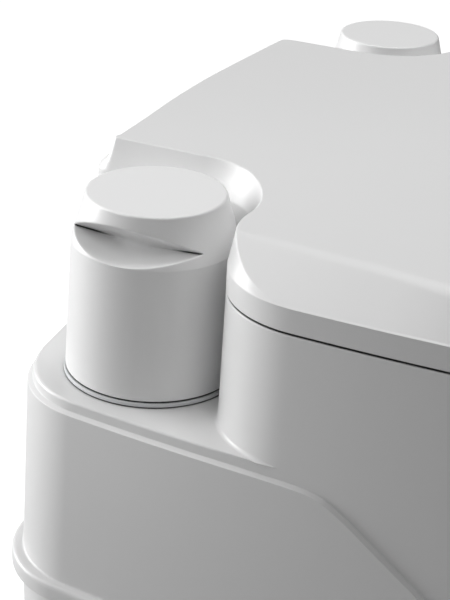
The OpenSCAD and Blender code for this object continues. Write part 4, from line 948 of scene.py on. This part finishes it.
# Waste tank
def make_waste_tank():
    base = plain(WASTE_W / 2 - WASTE_DRAFT, WASTE_D / 2 - WASTE_DRAFT)
    top = plain(WASTE_W / 2, WASTE_D / 2)
    skin = [ring(base, 18, FOOT_H), ring(base, 0, FOOT_H), ring(top, 0, WASTE_TOP), ring(top, 8, WASTE_TOP)]
    tank = grid_object("waste_tank_shell", rounded(skin, [0, 11.0, 3.5, 0], 8))
    wall, ceiling = 3, 120
    inside = [
        ring(base, 18, FOOT_H + wall), ring(base, wall, FOOT_H + wall),
        ring(top, wall, ceiling), ring(top, 12, ceiling),
    ]
    front, high = -WASTE_D / 2, SPLIT_Z + 9
    # The grip's hollow, the way of the blade's arm, the valve's bed and the spout's pocket
    recess(tank, about(BOWL_X, GRIP_W / 2 + 8), (-WASTE_D, front + 24), (VALVE_FLOOR - 8, high), 5.0, 5)
    recess(tank, about(BOWL_X, 18), (front + 12, VALVE_FRONT + 4), (BLADE_Z - 3, high), 1.5)
    recess(tank, about(BOWL_X, VALVE_HALF + 1), (VALVE_FRONT - 1, VALVE_BACK + 1), (VALVE_FLOOR, high), 1.5)
    spout_x = (SPOUT[0] - SPOUT_REACH - 26, SPOUT[0] + 46)
    recess(tank, spout_x, (SPOUT[1] - SPOUT_R - 12, WASTE_D), (POCKET_Z, high), 7.0, 5)
    for s in (-1, 1):
        x = sorted([s * (FLANGE_W / 2 - 22), s * FLANGE_W])
        recess(tank, x, about(0, LATCH_W / 2 + 2), (LATCH_PIN_Z - 14, high), 2.5)
    cut(tank, grid_object("chamber", rounded(inside, [0, 8.0, 3.0, 0], 3)))
    holes = [
        (OUTLET, OUTLET_R, 100.0, VALVE_FLOOR + 1), (SPOUT, SPOUT_R - SPOUT_WALL, 100.0, POCKET_Z + 1),
        (SPOUT + VENT_OFF, 4.0, 100.0, POCKET_Z + 1),
    ]
    for middle, r, low, end in holes:
        profile = [(0.01, low), (r, low), (r, end), (0.01, end)]
        cut(tank, revolve("hole", profile, (*middle, 0), 0, 72))
    glass = [(0.01, 0), (WINDOW_R, 0), (WINDOW_R, 26), (0.01, 26)]
    cut(tank, revolve("hole", glass, (WINDOW_X, -WASTE_D / 2 + 20, WINDOW_Z), 0, 72, axis="-Y"))
    place(tank, WHITE, "base", "white", "waste_tank")


make_waste_tank()


# Seat
SEAT_POSTS = [(-120, 60), (-55, -162), (135, -100), (120, 120)]


def make_seat():
    path = notched(DECK_W / 2, DECK_D / 2)
    front = np.where(path[:, 1] < PUMP[1], np.maximum(0, -path[:, 3]), 0)
    inset = SEAT_IN + SEAT_FRONT_IN * front
    top_z = SEAT_Z + SEAT_T
    below, above = ring(path, inset, SEAT_Z), ring(path, inset, top_z)
    outside = rounded([drawn_in(below, 0.07), below, above, drawn_in(above, 0.07)], [0, 1.0, 4.5, 0], 6)
    seat = grid_object("seat_shell", outside, centre=LID_MIDDLE)
    n = 160
    angles = np.radians(360 * np.arange(n) / n)
    a, b = HOLE_W / 2, HOLE_D / 2
    hole = [
        oval_ring(angles, a + 1, b + 1, BOWL, SEAT_Z - 2),
        oval_ring(angles, a + 1, b + 1, BOWL, SEAT_Z),
        oval_ring(angles, a, b, BOWL, SEAT_Z + 1),
    ]
    lip = 7.0
    for t in np.radians(np.linspace(0, 90, 8)):
        out, z = lip * (1 - math.cos(t)), top_z - lip * (1 - math.sin(t)) + 0.02
        hole.append(oval_ring(angles, a + out, b + out, BOWL, z))
    hole.append(oval_ring(angles, a + lip + 0.2, b + lip + 0.2, BOWL, top_z + 2))
    cut(seat, grid_object("hole", np.array(hole)))
    across, tall = (-DECK_W, DECK_W), (SEAT_Z - 6, top_z + 8)
    recess(seat, across, (HINGE_FRONT, DECK_D), tall, 1.5)
    for x in HINGE_XS:
        recess(seat, about(x, KNUCKLE_W / 2 + 1), (BRACKET_FRONT - 1.5, HINGE_FRONT + 8), tall, 1.0)
    # The hollow of the underside, open below
    groove_low, groove_high = SEAT_Z - 1, top_z - SEAT_WALL
    seen = angles_seen(ring(path, inset, 0), a, b, BOWL)
    groove = np.array([
        ring(path, inset + SEAT_WALL, groove_low),
        ring(path, inset + SEAT_WALL, groove_high),
        oval_ring(seen, a + SEAT_WALL, b + SEAT_WALL, BOWL, groove_high),
        oval_ring(seen, a + SEAT_WALL, b + SEAT_WALL, BOWL, groove_low),
    ])
    hollow = grid_object("groove", groove, loop=True)
    recess(hollow, across, (BRACKET_FRONT - 6, DECK_D), tall, 0)
    cut(seat, hollow)
    for x, y in SEAT_POSTS:
        post = [(0.01, SEAT_Z), (6.0, SEAT_Z), (6.5, top_z - 1.5), (0.01, top_z - 1.5)]
        join(seat, revolve("post", post, (x, y, 0), 0, 48))
    for i, x in enumerate(HINGE_XS):
        s = i * 2 - 1
        at = x - KNUCKLE_W * 1.5 - SIDE_CLEAR if s > 0 else x + KNUCKLE_W / 2 + SIDE_CLEAR
        arm_low, arm_high = HINGE_Z - EAR_HALF, HINGE_Z + EAR_HALF
        join(seat, soft_block([at, HINGE_FRONT - 4, arm_low], [at + KNUCKLE_W, HINGE_Y, arm_high], 0.6))
        join(seat, knuckle(at, KNUCKLE_W))
    place(seat, WHITE, "seat_part", "white", "seat")


make_seat()


# Smaller pieces, from the CAD solids with eased edges
EASED_ANGLE = math.radians(32)


def eased(node, material, slot, edge):
    """A piece in the shape of a CAD node, with its edges rounded and its facets smoothed."""
    bm = bmesh.new()
    bm.from_mesh(frame["nodes"][node].data)
    bmesh.ops.remove_doubles(bm, verts=bm.verts, dist=WELD)
    bmesh.ops.dissolve_limit(bm, angle_limit=math.radians(0.6), verts=bm.verts, edges=bm.edges)
    if edge > 0:
        inner = [e for e in bm.edges if len(e.link_faces) == 2]
        edges = [e for e in inner if e.calc_face_angle(0) > EASED_ANGLE]
        size = {"offset": edge * MM, "segments": 2, "profile": 0.5, "clamp_overlap": True}
        bmesh.ops.bevel(bm, geom=edges, affect="EDGES", **size)
    me = bpy.data.meshes.new(node + "_shell")
    bm.to_mesh(me)
    bm.free()
    obj = bpy.data.objects.new(node + "_shell", me)
    scene.collection.objects.link(obj)
    body = next(b for b, nodes in frame["record"]["behaviour"]["bodies"].items() if node in nodes)
    place(obj, material, body, slot, node)


MATERIAL_OF = {
    "white": WHITE, "light": LIGHT, "grey": GREY, "seal": SEAL,
    "hose": HOSE, "steel": STEEL, "window": WINDOW,
}
SLOT_OF = {row["node"]: row["material_slot"] for row in frame["record"]["subparts"]}
EASED = {
    "hinge_bracket_left": 0.8, "hinge_bracket_right": 0.8, "hinge_screws": 0.3, "seat_buffers": 0.6,
    "lid_buffers": 0.6, "valve_housing": 0.4, "valve_cover": 0.4, "valve_blade": 0.4, "valve_handle": 1.2,
    "spout": 0.8, "spout_collar": 0.8, "spout_cap": 1.0, "vent_button": 0.8, "vent_ring": 0.8,
    "latch_left": 0.8, "latch_right": 0.8, "latch_bracket_left": 0.5, "latch_bracket_right": 0.5,
    "latch_screws": 0.3, "feet": 0.8, "level_window": 0.8, "flush_nozzle": 0.4,
}
for node_name, edge_r in EASED.items():
    eased(node_name, MATERIAL_OF[SLOT_OF[node_name]], SLOT_OF[node_name], edge_r)

MADE = {
    "flush_tank", "waste_tank", "bowl", "seat", "lid", "pump_knob", "pump_collar", "fill_cap", "fill_neck",
}
for node_name, cad in frame["nodes"].items():
    if node_name not in MADE and node_name not in EASED:
        for place_slot in cad.material_slots:
            place_slot.link = "OBJECT"
            place_slot.material = MATERIAL_OF[SLOT_OF[node_name]]


# Light and floor
WORLD_LEVEL = 0.115


def make_world():
    world = bpy.data.worlds.new("world")
    scene.world = world
    world.use_nodes = True
    tree = world.node_tree
    back = tree.nodes["Background"]
    back.inputs["Color"].default_value = (1, 1, 1, 1)
    path = tree.nodes.new("ShaderNodeLightPath")
    add = tree.nodes.new("ShaderNodeMath")
    add.operation = "MAXIMUM"
    tree.links.new(path.outputs["Is Camera Ray"], add.inputs[0])
    tree.links.new(path.outputs["Is Transmission Ray"], add.inputs[1])
    level = tree.nodes.new("ShaderNodeMapRange")
    level.inputs["To Min"].default_value = WORLD_LEVEL
    level.inputs["To Max"].default_value = 1.0
    tree.links.new(add.outputs[0], level.inputs["Value"])
    tree.links.new(level.outputs["Result"], back.inputs["Strength"])


def make_floor():
    me = bpy.data.meshes.new("floor")
    r = 8.0
    me.from_pydata([(-r, -r, 0), (r, -r, 0), (r, r, 0), (-r, r, 0)], [], [[0, 1, 2, 3]])
    floor = bpy.data.objects.new("floor", me)
    scene.collection.objects.link(floor)
    mat = bpy.data.materials.new("floor")
    mat.use_nodes = True
    tree = mat.node_tree
    bsdf = tree.nodes["Principled BSDF"]
    bsdf.inputs["Base Color"].default_value = (0.5, 0.5, 0.5, 1)
    bsdf.inputs["Roughness"].default_value = 0.9
    bsdf.inputs["Specular IOR Level"].default_value = 0.0
    path = tree.nodes.new("ShaderNodeLightPath")
    glow = tree.nodes.new("ShaderNodeMath")
    glow.operation = "MULTIPLY"
    glow.inputs[1].default_value = 0.8
    tree.links.new(path.outputs["Is Camera Ray"], glow.inputs[0])
    bsdf.inputs["Emission Color"].default_value = (1, 1, 1, 1)
    tree.links.new(glow.outputs[0], bsdf.inputs["Emission Strength"])
    floor.data.materials.append(mat)


make_world()
make_floor()


def aimed(name, data, energy, place_at, look_at):
    data.energy = energy
    obj = bpy.data.objects.new(name, data)
    scene.collection.objects.link(obj)
    obj.location = Vector(place_at)
    obj.rotation_mode = "QUATERNION"
    obj.rotation_quaternion = (Vector(look_at) - Vector(place_at)).to_track_quat("-Z", "Y")


def area_light(name, size, energy, place_at, look_at):
    data = bpy.data.lights.new(name, "AREA")
    data.shape = "RECTANGLE"
    data.size, data.size_y = size
    aimed(name, data, energy, place_at, look_at)


def spot_light(name, energy, place_at, look_at, angle):
    data = bpy.data.lights.new(name, "SPOT")
    data.spot_size = math.radians(angle)
    data.spot_blend = 1.0
    data.shadow_soft_size = 0.12
    aimed(name, data, energy, place_at, look_at)


area_light("key", (1.2, 0.8), 36.0, (-2.2, -0.33, 0.65), (-0.05, -0.05, 0.33))
area_light("front_left", (1.2, 1.2), 12.0, (-1.6, -0.45, 1.7), (-0.05, -0.05, 0.33))
area_light("top", (1.6, 1.6), 23.5, (0.15, 0.5, 2.2), (0, 0, 0.33))
area_light("right", (0.6, 0.6), 3.0, (1.0, -1.3, 1.7), (0, -0.05, 0.33))
spot_light("pump", 30.0, (-0.765, -1.27, 1.1), (-0.12, -0.15, 0.37), 7.0)

scene.view_settings.view_transform = "Standard"
